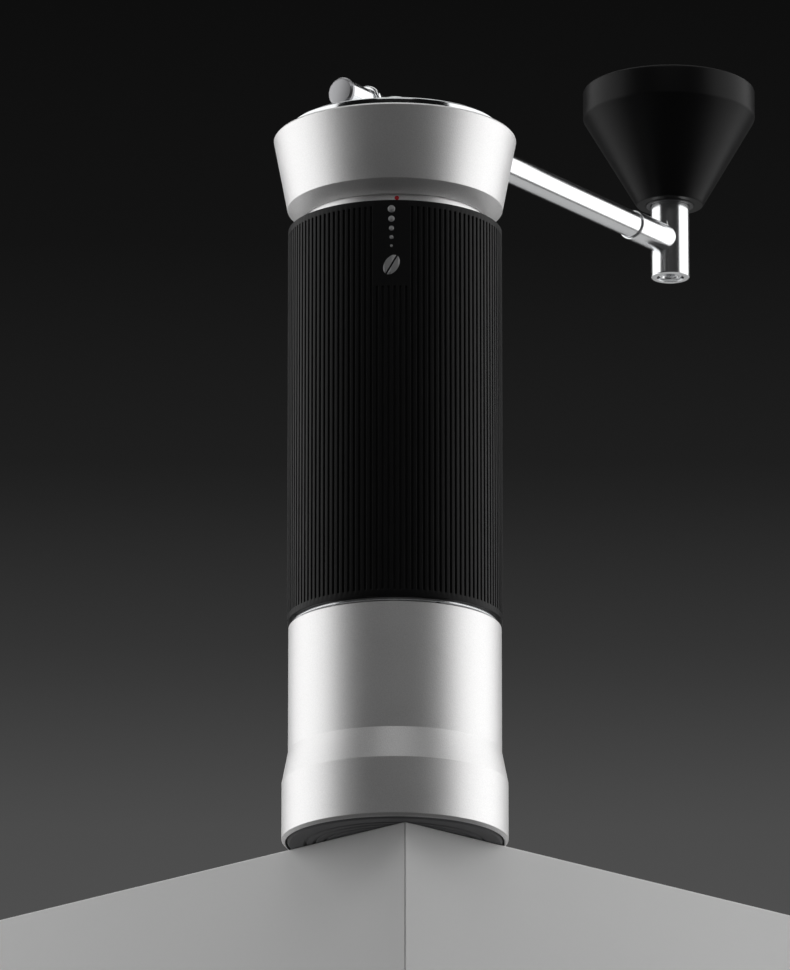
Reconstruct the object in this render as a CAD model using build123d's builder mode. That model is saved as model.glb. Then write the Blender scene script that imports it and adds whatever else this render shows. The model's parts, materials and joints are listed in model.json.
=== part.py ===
"""Hand crank coffee grinder: every piece as its own solid, in millimetres.

The grinder stands on z = 0 with its axis on +Z.  The crank arm points along +X at rest.
"""

import os

from build123d import *

os.makedirs("parts", exist_ok=True)

# --- driving dimensions (millimetres, degrees) ---------------------------------------------

# heights of the outside, from the standing surface up
cup_clearance = 0.3  # cup wall above the surface; the foot pad carries the weight
flare_base_z = 16.1  # straight foot of the cup ends, taper begins
flare_top_z = 24.5
cup_top_z = 58.1
sleeve_bottom_z = 59.5
sleeve_top_z = 167.4
ring_bottom_z = 170.4  # adjusting ring at the neck
ring_edge_z = 173.5  # lower outer edge of the adjusting ring
rim_z = 193.2
lid_bead_z = 196.0
arm_z = 200.0
post_bottom_z = 189.5
knob_bottom_z = 210.6
knob_band_z = 236.0
knob_top_z = 244.3

# radii of the outside
foot_radius = 28.2
cup_base_radius = 29.65
cup_radius = 28.0
cup_bore = 25.0
sleeve_radius = 28.4
end_ring_radius = 27.3
neck_radius = 24.15
ring_edge_radius = 28.63
rim_radius = 32.3
lid_radius = 28.55
knob_radius = 24.0
knob_foot_radius = 9.25
post_radius = 5.4
socket_radius = 4.15
rod_radius = 3.66
end_cap_radius = 3.95
collar_radius = 4.7

# crank arm, measured along +X from the grinder's axis
arm_length = 134.1  # to the knob post
socket_mouth_x = 114.5
rod_end_x = 126.0
collar_x = -14.1
end_cap_x = -25.5

# the side that carries the smooth pad and the index dot
front_angle = -145.0
pad_angle = front_angle - 2.0
dot_angle = front_angle + 1.0

# grip sleeve
sleeve_bore = 26.35
rib_count = 116
rib_skip = 6  # grooves left out across the pad
band_height = 1.7
pad_bottom_z = 143.7
groove_width = 0.66
groove_floor_width = 0.40
groove_depth = 0.5
groove_lead_in = 0.12

# body tube
tube_radius = 26.3
hopper_bore = 20.0
neck_top_z = 177.5
spigot_radius = 24.9
spigot_bottom_z = 50.0
burr_seat_radius = 21.05
burr_seat_top_z = 68.0
retainer_bore = 22.0
retainer_top_z = 53.0
fit = 0.05  # pieces pressed or screwed together
running = 0.08  # pieces that turn or slide on each other
gap = 0.3  # pieces that pass each other

# spindle and bearings (8 x 16 x 5 mm ball bearings)
spindle_radius = 4.0
burr_shaft_radius = 3.5
thread_radius = 3.0
spindle_bottom_z = 46.3
burr_shoulder_z = 69.5
spindle_shoulder_z = 184.8
spindle_top_z = 193.4
drive_hex = 7.0  # across flats
bearing_radius = 8.0
bearing_width = 5.0
ball_radius = 1.25
ball_circle = 6.0
ball_count = 8
upper_bearing_z = 178.0
lower_bearing_z = 81.5

# carrier that raises and lowers the spindle
carrier_thread_radius = 25.0
carrier_bottom_z = 178.5
carrier_height = 5.0
pin_circle = 22.1
pin_radius = 1.25
spoke_count = 3
spoke_width = 4.0
housing_radius = 10.0

# lid
lid_plate_z = 193.4  # underside of the plate
lid_dish_z = 194.9
lid_recess_radius = lid_radius + gap
lid_skirt_z = 191.85  # lowest edge of the lid
lid_ledge_z = 191.0  # the lid follows the carrier down by 0.5 and still stays clear


# burr teeth
tooth_width = 0.9
fine_slant = 8.0
mouth_flute_width = 1.6
mouth_flute_depth = 1.2
mouth_slant = 12.0
feed_flute_width = 2.6
feed_flute_depth = 1.8
feed_slant = -40.0
overrun = 0.15  # share of a tooth's length that its cutter runs past each end
wrench_slot = (5.0, 2.4)
wrench_slot_depth = 1.2
washer_radius = 7.5
nut_flats = 10.0

# bearings and clips
ball_play = 0.04
cage_wall = 0.6
cage_margin = 0.5
circlip_ease = 0.2
spindle_clip_radius = 4.9
bearing_clip_gap = 4.0
spindle_clip_gap = 5.0
lid_clip_gap = 6.0

# body details
floor_fillet = 2.5
shoulder_step = 0.5
end_ring_z = 58.45
end_ring_chamfer = 0.2
bridge_rim = 2.0
spoke_overlap = 0.5
screw_face_radius = 26.2
screw_socket = 0.8
ring_lip = 0.6
funnel_lip_width = 0.5

# lid and hub details
lid_bead_slope = 1.1
lid_bead_fillet = 0.7
lid_seal_radius = 28.8
bush_bottom_z = 193.0
bush_flange_radius = 10.0
hub_flange_radius = 8.5
hub_flange_chamfer = 0.2
set_screw_flats = 1.5
set_screw_socket_depth = 1.8

# knob details
axle_head_inset = 0.4
axle_head_fillet = 0.9
axle_socket_flats = 2.5
axle_socket_depth = 1.2
insert_clearance = 0.8
insert_ease = 0.2
knob_dish_radius = 20.0
knob_dish_depth = 0.6
knob_dish_taper = 60.0
knob_fillet = 0.8
bush_proud = 0.3
lower_bush_top_z = 219.0
upper_bush_bottom_z = 227.0

# small sizes used in several places
edge_break = 0.3
lead_in = 0.5  # chamfer that leads one piece into another
search = 0.1  # half height of the band in which edges are looked for


# --- helpers -------------------------------------------------------------------------------


def outline(*points):
    """Closed face through (radius, height) points on the current sketch plane."""
    with BuildLine() as border:
        Polyline(*points, close=True)
    make_face(border.edges())


def save(piece, label):
    """Label a finished piece and write it as one STEP file."""
    piece.part.label = label
    export_step(piece.part, f"parts/{label}.step")


def polar(radius, angle):
    """Point on a circle about the grinder's axis."""
    return Vector(radius, 0, 0).rotate(Axis.Z, angle)


def radial_plane(radius, angle, height):
    """Plane that faces outwards at a radius and height, its x along the circle."""
    outward = polar(1, angle)
    origin = polar(radius, angle) + Vector(0, 0, height)
    return Plane(origin=origin, x_dir=Vector(0, 0, 1).cross(outward), z_dir=outward)


def along_arm(x):
    """Plane across the crank arm at a distance from the axis."""
    return Plane(origin=(x, 0, arm_z), x_dir=(0, 1, 0), z_dir=(1, 0, 0))


# --- catch cup -----------------------------------------------------------------------------

cup_floor_z = 5.5
foot_top_z = 2.3
foot_recess_radius = 28.7
cup_chamfer = 0.8
edge_break = 0.3
magnet_radius = 1.1
magnet_depth = 3.0
magnet_circle = 26.5
magnet_count = 6

# turned aluminium cup: straight foot, short taper, straight wall
with BuildPart() as catch_cup:
    with BuildSketch(Plane.XZ):
        outline(
            (0, foot_top_z),
            (foot_recess_radius, foot_top_z),
            (foot_recess_radius, cup_clearance),
            (cup_base_radius - cup_chamfer, cup_clearance),
            (cup_base_radius, cup_clearance + cup_chamfer),
            (cup_base_radius, flare_base_z),
            (cup_radius, flare_top_z),
            (cup_radius, cup_top_z - edge_break),
            (cup_radius - edge_break, cup_top_z),
            (cup_bore + edge_break, cup_top_z),
            (cup_bore, cup_top_z - edge_break),
            (cup_bore, cup_floor_z),
            (0, cup_floor_z),
        )
    revolve(axis=Axis.Z)
    floor_corner = catch_cup.edges().filter_by(GeomType.CIRCLE)
    fillet(floor_corner.filter_by_position(Axis.Z, cup_floor_z - search, cup_floor_z + search), radius=floor_fillet)
    with BuildSketch(Plane.XY.offset(cup_top_z)):
        with PolarLocations(magnet_circle, magnet_count):
            Circle(magnet_radius + fit / 2)
    extrude(amount=-magnet_depth, mode=Mode.SUBTRACT)
save(catch_cup, "catch_cup")

# magnets that hold the cup to the steel end ring
with BuildPart() as cup_magnets:
    with BuildSketch(Plane.XY.offset(cup_top_z - magnet_depth)):
        with PolarLocations(magnet_circle, magnet_count):
            Circle(magnet_radius)
    extrude(amount=magnet_depth - fit)
save(cup_magnets, "cup_magnets")

# non-slip pad let into the underside
with BuildPart() as foot_pad:
    with BuildSketch():
        Circle(foot_radius)
    extrude(amount=foot_top_z)
    chamfer(foot_pad.edges().group_by(Axis.Z)[0], length=2 * edge_break)
save(foot_pad, "foot_pad")


# --- body tube, neck and grip --------------------------------------------------------------

cup_groove_z = 53.0
neck_groove_z = 171.4
groove_height = 1.6
cup_groove_radius = 23.9
neck_groove_radius = 23.05
pin_bottom_z = 173.6
pin_top_z = 184.4
dot_radius = 0.62
dot_z = 169.3
dot_depth = 0.6
screw_z = 82.0
screw_radius = 1.25
screw_head_radius = 2.3
screw_head_height = 1.3
screw_tip_radius = 14.5  # distance of the tip from the axis

# thick-walled aluminium tube: spigot and burr seat below, neck for the adjusting ring above
with BuildPart() as body_tube:
    with BuildSketch(Plane.XZ):
        outline(
            (retainer_bore, spigot_bottom_z),
            (spigot_radius - lead_in, spigot_bottom_z),
            (spigot_radius, spigot_bottom_z + lead_in),
            (spigot_radius, cup_groove_z),
            (cup_groove_radius, cup_groove_z),
            (cup_groove_radius, cup_groove_z + groove_height),
            (spigot_radius, cup_groove_z + groove_height),
            (spigot_radius, sleeve_bottom_z),
            (tube_radius, sleeve_bottom_z),
            (tube_radius, sleeve_top_z - shoulder_step),
            (neck_radius, sleeve_top_z - shoulder_step),
            (neck_radius, neck_groove_z),
            (neck_groove_radius, neck_groove_z),
            (neck_groove_radius, neck_groove_z + groove_height),
            (neck_radius, neck_groove_z + groove_height),
            (neck_radius, neck_top_z),
            (hopper_bore + lead_in, neck_top_z),
            (hopper_bore, neck_top_z - lead_in),
            (hopper_bore, burr_seat_top_z),
            (burr_seat_radius, burr_seat_top_z),
            (burr_seat_radius, retainer_top_z),
            (retainer_bore, retainer_top_z),
        )
    revolve(axis=Axis.Z)
    # blind holes for the guide pins
    with BuildSketch(Plane.XY.offset(neck_top_z)):
        with PolarLocations(pin_circle, spoke_count, start_angle=60):
            Circle(pin_radius + fit / 2)
    extrude(amount=pin_bottom_z - neck_top_z, mode=Mode.SUBTRACT)
    # countersunk holes for the screws that hold the lower bridge
    for spoke in range(spoke_count):
        with Locations(radial_plane(tube_radius, spoke * 360 / spoke_count, screw_z)):
            CounterSinkHole(screw_radius + fit, screw_head_radius + fit, depth=8)
    # pocket for the index dot
    with BuildSketch(radial_plane(neck_radius + 1, dot_angle, dot_z)):
        Circle(dot_radius)
    extrude(amount=-1 - dot_depth, mode=Mode.SUBTRACT)
save(body_tube, "body_tube")

# red enamel dot that the grind setting is read against
with BuildPart() as index_dot:
    with BuildSketch(radial_plane(neck_radius - dot_depth, dot_angle, dot_z)):
        Circle(dot_radius)
    extrude(amount=dot_depth)
save(index_dot, "index_dot")

# one groove between two ribs, its x pointing outwards, with lead-in chamfers
with BuildSketch() as rib_groove:
    outline(
        (1, groove_width / 2 + groove_lead_in),
        (0, groove_width / 2 + groove_lead_in),
        (-groove_lead_in, groove_width / 2),
        (-groove_depth, groove_floor_width / 2),
        (-groove_depth, -groove_floor_width / 2),
        (-groove_lead_in, -groove_width / 2),
        (0, -groove_width / 2 - groove_lead_in),
        (1, -groove_width / 2 - groove_lead_in),
    )

rib_pitch = 360 / rib_count
ribs_bottom_z = sleeve_bottom_z + band_height
ribs_height = sleeve_top_z - band_height - ribs_bottom_z
full_grooves = rib_count - rib_skip
first_groove = pad_angle + rib_pitch * (rib_skip + 1) / 2
first_short_groove = pad_angle - rib_pitch * (rib_skip - 1) / 2

# moulded grip sleeve: fine upright ribs between plain bands, and a smooth pad at the front
with BuildPart() as grip_sleeve:
    with BuildSketch(Plane.XY.offset(sleeve_bottom_z)):
        Circle(sleeve_radius)
        Circle(sleeve_bore, mode=Mode.SUBTRACT)
    extrude(amount=sleeve_top_z - sleeve_bottom_z)
    end_edges = grip_sleeve.edges().filter_by(GeomType.CIRCLE).sort_by(SortBy.RADIUS)[-2:]
    chamfer(end_edges, length=lead_in)
    with BuildSketch(Plane.XY.offset(ribs_bottom_z)) as long_grooves:
        with PolarLocations(
            sleeve_radius, full_grooves, first_groove, rib_pitch * (full_grooves - 1), endpoint=True
        ):
            add(rib_groove.sketch)
    extrude(amount=ribs_height, mode=Mode.SUBTRACT)
    with BuildSketch(Plane.XY.offset(ribs_bottom_z)) as short_grooves:
        with PolarLocations(
            sleeve_radius, rib_skip, first_short_groove, rib_pitch * (rib_skip - 1), endpoint=True
        ):
            add(rib_groove.sketch)
    extrude(amount=pad_bottom_z - ribs_bottom_z, mode=Mode.SUBTRACT)
save(grip_sleeve, "grip_sleeve")

# steel ring under the sleeve, which the cup's magnets pull on
with BuildPart() as end_ring:
    with BuildSketch(Plane.XZ):
        outline(
            (spigot_radius + fit, end_ring_z),
            (end_ring_radius - end_ring_chamfer, end_ring_z),
            (end_ring_radius, end_ring_z + end_ring_chamfer),
            (end_ring_radius, sleeve_bottom_z),
            (spigot_radius + fit, sleeve_bottom_z),
        )
    revolve(axis=Axis.Z)
save(end_ring, "end_ring")


def o_ring(label, floor_radius, outer_radius, centre_z):
    """Round rubber ring between the floor of its groove and the bore around it."""
    thickness = (outer_radius - floor_radius) / 2
    with BuildPart() as ring:
        with BuildSketch(Plane.XZ):
            with Locations((floor_radius + thickness, centre_z)):
                Circle(thickness)
        revolve(axis=Axis.Z)
    save(ring, label)


o_ring("cup_o_ring", cup_groove_radius + fit, cup_bore - running, cup_groove_z + groove_height / 2)
o_ring("ring_drag_seal", neck_groove_radius + fit, neck_radius + running / 2, neck_groove_z + groove_height / 2)

# dowel pins that keep the carrier from turning
with BuildPart() as guide_pins:
    with BuildSketch(Plane.XY.offset(pin_bottom_z)):
        with PolarLocations(pin_circle, spoke_count, start_angle=60):
            Circle(pin_radius)
    extrude(amount=pin_top_z - pin_bottom_z)
    chamfer(guide_pins.edges().group_by(Axis.Z)[-1], length=edge_break)
save(guide_pins, "guide_pins")


# --- spiders that hold the two bearings ----------------------------------------------------

lower_spider_z = 78.0
lower_spider_height = 8.0
lower_housing_bottom_z = 76.0
lower_housing_top_z = 87.5
upper_housing_bottom_z = 177.0
upper_housing_top_z = 184.5
lip_radius = 6.9
circlip_groove_radius = 8.5
circlip_thickness = 0.9


def spokes(inner, outer, bottom, height):
    """Straight spokes from the housing to the outer ring, one along +X."""
    with BuildSketch(Plane.XY.offset(bottom)) as legs:
        with PolarLocations((inner + outer) / 2, spoke_count):
            Rectangle(outer - inner, spoke_width)
    extrude(legs.sketch, amount=height)


# three-legged bridge screwed inside the tube; the lower bearing floats in its housing
with BuildPart() as lower_bridge:
    with BuildSketch(Plane.XY.offset(lower_spider_z)):
        Circle(hopper_bore - fit)
        Circle(hopper_bore - bridge_rim, mode=Mode.SUBTRACT)
    extrude(amount=lower_spider_height)
    spokes(housing_radius - spoke_overlap, hopper_bore - bridge_rim / 2, lower_spider_z, lower_spider_height)
    with BuildSketch(Plane.XY.offset(lower_housing_bottom_z)):
        Circle(housing_radius)
    extrude(amount=lower_housing_top_z - lower_housing_bottom_z)
    with BuildSketch(Plane.XY.offset(lower_spider_z)):
        Circle(bearing_radius + running)
    extrude(amount=lower_housing_top_z - lower_spider_z, mode=Mode.SUBTRACT)
    with BuildSketch(Plane.XY.offset(lower_housing_bottom_z)):
        Circle(spindle_radius + 1)
    extrude(amount=lower_spider_z - lower_housing_bottom_z, mode=Mode.SUBTRACT)
    for spoke in range(spoke_count):
        with BuildSketch(radial_plane(screw_tip_radius - lead_in, spoke * 360 / spoke_count, screw_z)):
            Circle(screw_radius)
        extrude(amount=hopper_bore - screw_tip_radius + 1, mode=Mode.SUBTRACT)
save(lower_bridge, "lower_bridge")

# countersunk screws through the tube into the bridge's legs, hidden by the sleeve
with BuildPart() as bridge_screws:
    for spoke in range(spoke_count):
        angle = spoke * 360 / spoke_count
        with BuildSketch(radial_plane(screw_tip_radius, angle, screw_z)):
            Circle(screw_radius - fit)
        extrude(amount=tube_radius - screw_head_height - screw_tip_radius)
        with BuildSketch(radial_plane(screw_face_radius, angle, screw_z)):
            Circle(screw_head_radius - edge_break / 2)
        with BuildSketch(radial_plane(tube_radius - screw_head_height, angle, screw_z)):
            Circle(screw_radius - fit)
        loft()
        with BuildSketch(radial_plane(screw_face_radius, angle, screw_z)):
            RegularPolygon(screw_socket, 6)
        extrude(amount=-screw_socket, mode=Mode.SUBTRACT)
save(bridge_screws, "bridge_screws")

# threaded carrier that rides up and down inside the adjusting ring
with BuildPart() as carrier:
    with BuildSketch(Plane.XY.offset(carrier_bottom_z)):
        Circle(carrier_thread_radius)
        Circle(hopper_bore + spoke_overlap, mode=Mode.SUBTRACT)
        with PolarLocations(pin_circle, spoke_count, start_angle=60):
            Circle(pin_radius + running, mode=Mode.SUBTRACT)
    extrude(amount=carrier_height)
    spokes(housing_radius - spoke_overlap, hopper_bore + 2 * spoke_overlap, carrier_bottom_z, carrier_height)
    with BuildSketch(Plane.XY.offset(upper_housing_bottom_z)):
        Circle(housing_radius)
    extrude(amount=upper_housing_top_z - upper_housing_bottom_z)
    with BuildSketch(Plane.XZ):
        outline(
            (0, upper_housing_bottom_z),
            (lip_radius, upper_housing_bottom_z),
            (lip_radius, upper_bearing_z),
            (bearing_radius + fit / 2, upper_bearing_z),
            (bearing_radius + fit / 2, upper_bearing_z + bearing_width),
            (circlip_groove_radius, upper_bearing_z + bearing_width),
            (circlip_groove_radius, upper_bearing_z + bearing_width + circlip_thickness + fit),
            (bearing_radius + fit / 2, upper_bearing_z + bearing_width + circlip_thickness + fit),
            (bearing_radius + fit / 2, upper_housing_top_z),
            (0, upper_housing_top_z),
        )
    revolve(axis=Axis.Z, mode=Mode.SUBTRACT)
save(carrier, "carrier")


def circlip(label, inner, outer, bottom, opening):
    """Flat snap ring, cut open on one side."""
    with BuildPart() as clip:
        with BuildSketch(Plane.XY.offset(bottom)):
            Circle(outer)
            Circle(inner, mode=Mode.SUBTRACT)
            with Locations(((inner + outer) / 2, 0)):
                Rectangle(outer - inner + 1, opening, mode=Mode.SUBTRACT)
        extrude(amount=circlip_thickness)
    save(clip, label)


circlip(
    "bearing_circlip", lip_radius + circlip_ease, circlip_groove_radius - fit, upper_bearing_z + bearing_width, bearing_clip_gap
)


# --- ball bearings -------------------------------------------------------------------------

race_width = 1.3
race_groove = ball_radius + ball_play


def race(label, inner, outer, bottom):
    """One ring of a ball bearing, with its ball track."""
    with BuildPart() as ring:
        with BuildSketch(Plane.XZ):
            with Locations(((inner + outer) / 2, bottom + bearing_width / 2)):
                Rectangle(outer - inner, bearing_width)
            with Locations((ball_circle, bottom + bearing_width / 2)):
                Circle(race_groove, mode=Mode.SUBTRACT)
        revolve(axis=Axis.Z)
    save(ring, label)


def balls(label, bottom):
    """The balls of one bearing."""
    with BuildPart() as ball_set:
        with Locations((0, 0, bottom + bearing_width / 2)):
            with PolarLocations(ball_circle, ball_count):
                Sphere(ball_radius)
    save(ball_set, label)


def cage(label, bottom):
    """Thin ring with round pockets that spaces the balls."""
    with BuildPart() as ring:
        with BuildSketch(Plane.XY.offset(bottom + bearing_width / 2)):
            Circle(ball_circle + cage_wall / 2)
            Circle(ball_circle - cage_wall / 2, mode=Mode.SUBTRACT)
        extrude(amount=ball_radius + cage_margin, both=True)
        for pocket in range(ball_count):
            angle = pocket * 360 / ball_count
            with BuildSketch(radial_plane(ball_circle - 1, angle, bottom + bearing_width / 2)) as bore:
                Circle(ball_radius + ball_play)
            extrude(bore.sketch, amount=2, mode=Mode.SUBTRACT)
    save(ring, label)


for place, bearing_z in (("upper", upper_bearing_z), ("lower", lower_bearing_z)):
    race(f"{place}_outer_race", bearing_radius - race_width, bearing_radius, bearing_z)
    race(f"{place}_inner_race", spindle_radius, spindle_radius + race_width, bearing_z)
    balls(f"{place}_bearing_balls", bearing_z)
    cage(f"{place}_ball_cage", bearing_z)

# coil spring under the lower bearing that takes the slack out of the carrier's thread
wire_radius = 0.4
spring_radius = 7.2
spring_turns = 3
spring_height = lower_bearing_z - lower_spider_z - 2 * wire_radius
with BuildPart() as preload_spring:
    with BuildLine() as coil:
        Helix(
            pitch=spring_height / spring_turns,
            height=spring_height,
            radius=spring_radius,
            center=(0, 0, lower_spider_z + wire_radius),
        )
    with BuildSketch(Plane(origin=coil.line @ 0, z_dir=coil.line % 0)):
        Circle(wire_radius)
    sweep(is_frenet=True)
save(preload_spring, "preload_spring")


# --- spindle and burrs ---------------------------------------------------------------------

washer_thickness = 1.5
nut_height = 4.6
burr_bottom_z = 53.3
nut_top_z = burr_bottom_z - washer_thickness
spindle_groove_radius = 3.6

# steel spindle: threaded tail, burr seat, bearing journals, hexagonal drive end
with BuildPart() as spindle:
    with BuildSketch(Plane.XZ):
        outline(
            (0, spindle_bottom_z),
            (thread_radius - lead_in, spindle_bottom_z),
            (thread_radius, spindle_bottom_z + lead_in),
            (thread_radius, burr_bottom_z),
            (burr_shaft_radius, burr_bottom_z),
            (burr_shaft_radius, burr_shoulder_z),
            (spindle_radius, burr_shoulder_z),
            (spindle_radius, upper_bearing_z + bearing_width),
            (spindle_groove_radius, upper_bearing_z + bearing_width),
            (spindle_groove_radius, upper_bearing_z + bearing_width + circlip_thickness),
            (spindle_radius, upper_bearing_z + bearing_width + circlip_thickness),
            (spindle_radius, spindle_shoulder_z),
            (0, spindle_shoulder_z),
        )
    revolve(axis=Axis.Z)
    with BuildSketch(Plane.XY.offset(spindle_shoulder_z)):
        RegularPolygon(drive_hex / 2, 6, major_radius=False)
    extrude(amount=spindle_top_z - spindle_shoulder_z)
    chamfer(spindle.edges().group_by(Axis.Z)[-1], length=lead_in)
save(spindle, "spindle")

circlip(
    "spindle_circlip", spindle_groove_radius + fit, spindle_clip_radius, upper_bearing_z + bearing_width, spindle_clip_gap
)

# burr profiles as (radius, height)
outer_burr_radius = 21.0
outer_mouth = (17.0, burr_seat_top_z)
outer_throat = (15.0, 60.0)
outer_exit = (17.6, retainer_top_z)
inner_edge = (17.0, burr_bottom_z)
inner_throat = (14.5, 60.0)
inner_tip = (7.5, burr_shoulder_z)
fine_teeth = 36
coarse_teeth = 6
tooth_depth = 0.7


def tooth_cutter(start, end, width, depth, skew):
    """V-shaped groove along a cone from one (radius, height) point to another."""
    lower = polar(start[0], 0) + Vector(0, 0, start[1])
    upper = polar(end[0], skew) + Vector(0, 0, end[1])
    run = upper - lower
    side = Vector(0, 1, 0)
    outward = side.cross(run).normalized()
    begin = lower - run * overrun
    with BuildPart() as cutter:
        with BuildSketch(Plane(origin=begin, x_dir=outward, z_dir=run)):
            outline((-depth, 0), (depth, width), (depth, -width))
        extrude(amount=run.length * (1 + 2 * overrun))
    return cutter.part


# hardened steel ring burr, screwed into the bottom of the tube
with BuildPart() as outer_burr:
    with BuildSketch(Plane.XZ):
        outline(
            outer_mouth,
            outer_throat,
            outer_exit,
            (outer_burr_radius, retainer_top_z),
            (outer_burr_radius, burr_seat_top_z),
        )
    revolve(axis=Axis.Z)
    with PolarLocations(0, fine_teeth):
        add(tooth_cutter(outer_exit, outer_throat, tooth_width, tooth_depth, fine_slant), mode=Mode.SUBTRACT)
    with PolarLocations(0, 2 * coarse_teeth):
        add(tooth_cutter(outer_throat, outer_mouth, mouth_flute_width, mouth_flute_depth, mouth_slant), mode=Mode.SUBTRACT)
save(outer_burr, "outer_burr")

# hardened steel cone burr on the spindle
with BuildPart() as inner_burr:
    with BuildSketch(Plane.XZ):
        outline(
            (burr_shaft_radius + fit / 2, burr_bottom_z),
            inner_edge,
            inner_throat,
            inner_tip,
            (burr_shaft_radius + fit / 2, burr_shoulder_z),
        )
    revolve(axis=Axis.Z)
    with PolarLocations(0, fine_teeth):
        add(tooth_cutter(inner_edge, inner_throat, tooth_width, tooth_depth, -fine_slant), mode=Mode.SUBTRACT)
    with PolarLocations(0, coarse_teeth):
        add(tooth_cutter(inner_throat, inner_tip, feed_flute_width, feed_flute_depth, feed_slant), mode=Mode.SUBTRACT)
save(inner_burr, "inner_burr")

# threaded ring with two spanner slots that locks the outer burr
retainer_inner = 18.7
with BuildPart() as burr_retainer:
    with BuildSketch(Plane.XY.offset(spigot_bottom_z + gap)):
        Circle(retainer_bore - fit)
        Circle(retainer_inner, mode=Mode.SUBTRACT)
    extrude(amount=retainer_top_z - spigot_bottom_z - gap)
    with BuildSketch(Plane.XY.offset(spigot_bottom_z + gap)):
        with PolarLocations((retainer_inner + retainer_bore) / 2, 2, start_angle=90):
            Rectangle(*wrench_slot)
    extrude(amount=wrench_slot_depth, mode=Mode.SUBTRACT)
save(burr_retainer, "burr_retainer")

with BuildPart() as burr_washer:
    with BuildSketch(Plane.XY.offset(nut_top_z)):
        Circle(washer_radius)
        Circle(thread_radius + fit, mode=Mode.SUBTRACT)
    extrude(amount=washer_thickness)
    chamfer(burr_washer.edges().group_by(Axis.Z)[0].sort_by(SortBy.RADIUS)[-1], length=edge_break)
save(burr_washer, "burr_washer")

with BuildPart() as burr_nut:
    with BuildSketch(Plane.XY.offset(nut_top_z - nut_height)):
        RegularPolygon(nut_flats / 2, 6, major_radius=False)
        Circle(thread_radius + fit, mode=Mode.SUBTRACT)
    extrude(amount=nut_height)
save(burr_nut, "burr_nut")


# --- adjusting ring and funnel -------------------------------------------------------------

ring_thread_bore = carrier_thread_radius + running
ring_thread_bottom_z = neck_top_z
funnel_seat_radius = 27.45
funnel_seat_z = 185.1
funnel_throat_radius = 20.9
funnel_throat_z = 186.0
funnel_lip_z = 190.7
rim_chamfer = 0.4
mouth_chamfer = 1.2

# flared ring that is turned to set the grind; it is also the mouth of the hopper
with BuildPart() as adjusting_ring:
    with BuildSketch(Plane.XZ):
        outline(
            (neck_radius + running, ring_bottom_z),
            (neck_radius + ring_lip, ring_bottom_z),
            (ring_edge_radius, ring_edge_z),
            (rim_radius, rim_z - rim_chamfer),
            (rim_radius - rim_chamfer, rim_z),
            (lid_recess_radius + mouth_chamfer, rim_z),
            (lid_recess_radius, rim_z - mouth_chamfer),
            (lid_recess_radius, lid_ledge_z),
            (funnel_seat_radius, lid_ledge_z),
            (funnel_seat_radius, funnel_seat_z),
            (ring_thread_bore, funnel_seat_z),
            (ring_thread_bore, ring_thread_bottom_z),
            (neck_radius + running, ring_thread_bottom_z),
        )
    revolve(axis=Axis.Z)
save(adjusting_ring, "adjusting_ring")

# black plastic funnel that covers the thread and leads the beans in
with BuildPart() as hopper_funnel:
    with BuildSketch(Plane.XZ):
        outline(
            (funnel_seat_radius - fit, funnel_seat_z),
            (funnel_seat_radius - fit, funnel_lip_z),
            (funnel_seat_radius - funnel_lip_width, funnel_lip_z),
            (funnel_throat_radius, funnel_throat_z),
            (funnel_throat_radius, funnel_seat_z),
        )
    revolve(axis=Axis.Z)
save(hopper_funnel, "hopper_funnel")


# --- lid -----------------------------------------------------------------------------------

hub_radius = 6.5
hub_bottom_z = spindle_shoulder_z + gap
bush_radius = 8.0
bush_top_z = 195.4
lid_skirt_radius = 26.9
lid_bead_width = 1.6
lid_groove_z = 191.95
lid_groove_height = 1.0
lid_groove_radius = 27.8

# dished lid with a raised bead round its edge
with BuildPart() as lid:
    with BuildSketch(Plane.XZ):
        outline(
            (bush_radius + fit / 2, lid_plate_z),
            (lid_skirt_radius, lid_plate_z),
            (lid_skirt_radius, lid_skirt_z),
            (lid_groove_radius, lid_skirt_z),
            (lid_groove_radius, lid_groove_z + lid_groove_height),
            (lid_radius, lid_groove_z + lid_groove_height),
            (lid_radius, lid_bead_z),
            (lid_radius - lid_bead_width, lid_bead_z),
            (lid_radius - lid_bead_width - lid_bead_slope, lid_dish_z),
            (bush_radius + fit / 2, lid_dish_z),
        )
    revolve(axis=Axis.Z)
    bead = lid.edges().filter_by(GeomType.CIRCLE).group_by(Axis.Z)[-1]
    fillet(bead, radius=lid_bead_fillet)
save(lid, "lid")

# silicone ring that centres the lid in the mouth of the hopper
with BuildPart() as lid_seal:
    with BuildSketch(Plane.XZ):
        with Locations(((lid_groove_radius + lid_seal_radius) / 2, lid_groove_z + lid_groove_height / 2)):
            Rectangle(lid_seal_radius - lid_groove_radius, lid_groove_height - fit)
    revolve(axis=Axis.Z)
save(lid_seal, "lid_seal")

# flanged bush: the lid stays still on it while the hub turns
with BuildPart() as lid_bush:
    with BuildSketch(Plane.XZ):
        outline(
            (hub_radius + running, bush_bottom_z),
            (bush_radius, bush_bottom_z),
            (bush_radius, lid_dish_z),
            (bush_flange_radius, lid_dish_z),
            (bush_flange_radius, bush_top_z),
            (hub_radius + running, bush_top_z),
        )
    revolve(axis=Axis.Z)
save(lid_bush, "lid_bush")


# --- crank ---------------------------------------------------------------------------------

hub_top_z = 204.7
hub_crown_radius = 3.6
hub_flange_z = bush_top_z + gap
hub_flange_height = 0.55
clip_groove_radius = 6.0
lid_clip_z = bush_bottom_z - gap - circlip_thickness
magnet_pocket_z = spindle_top_z + gap
hub_magnet_radius = 2.8
hub_magnet_height = 1.8
set_screw_radius = 1.5

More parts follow.
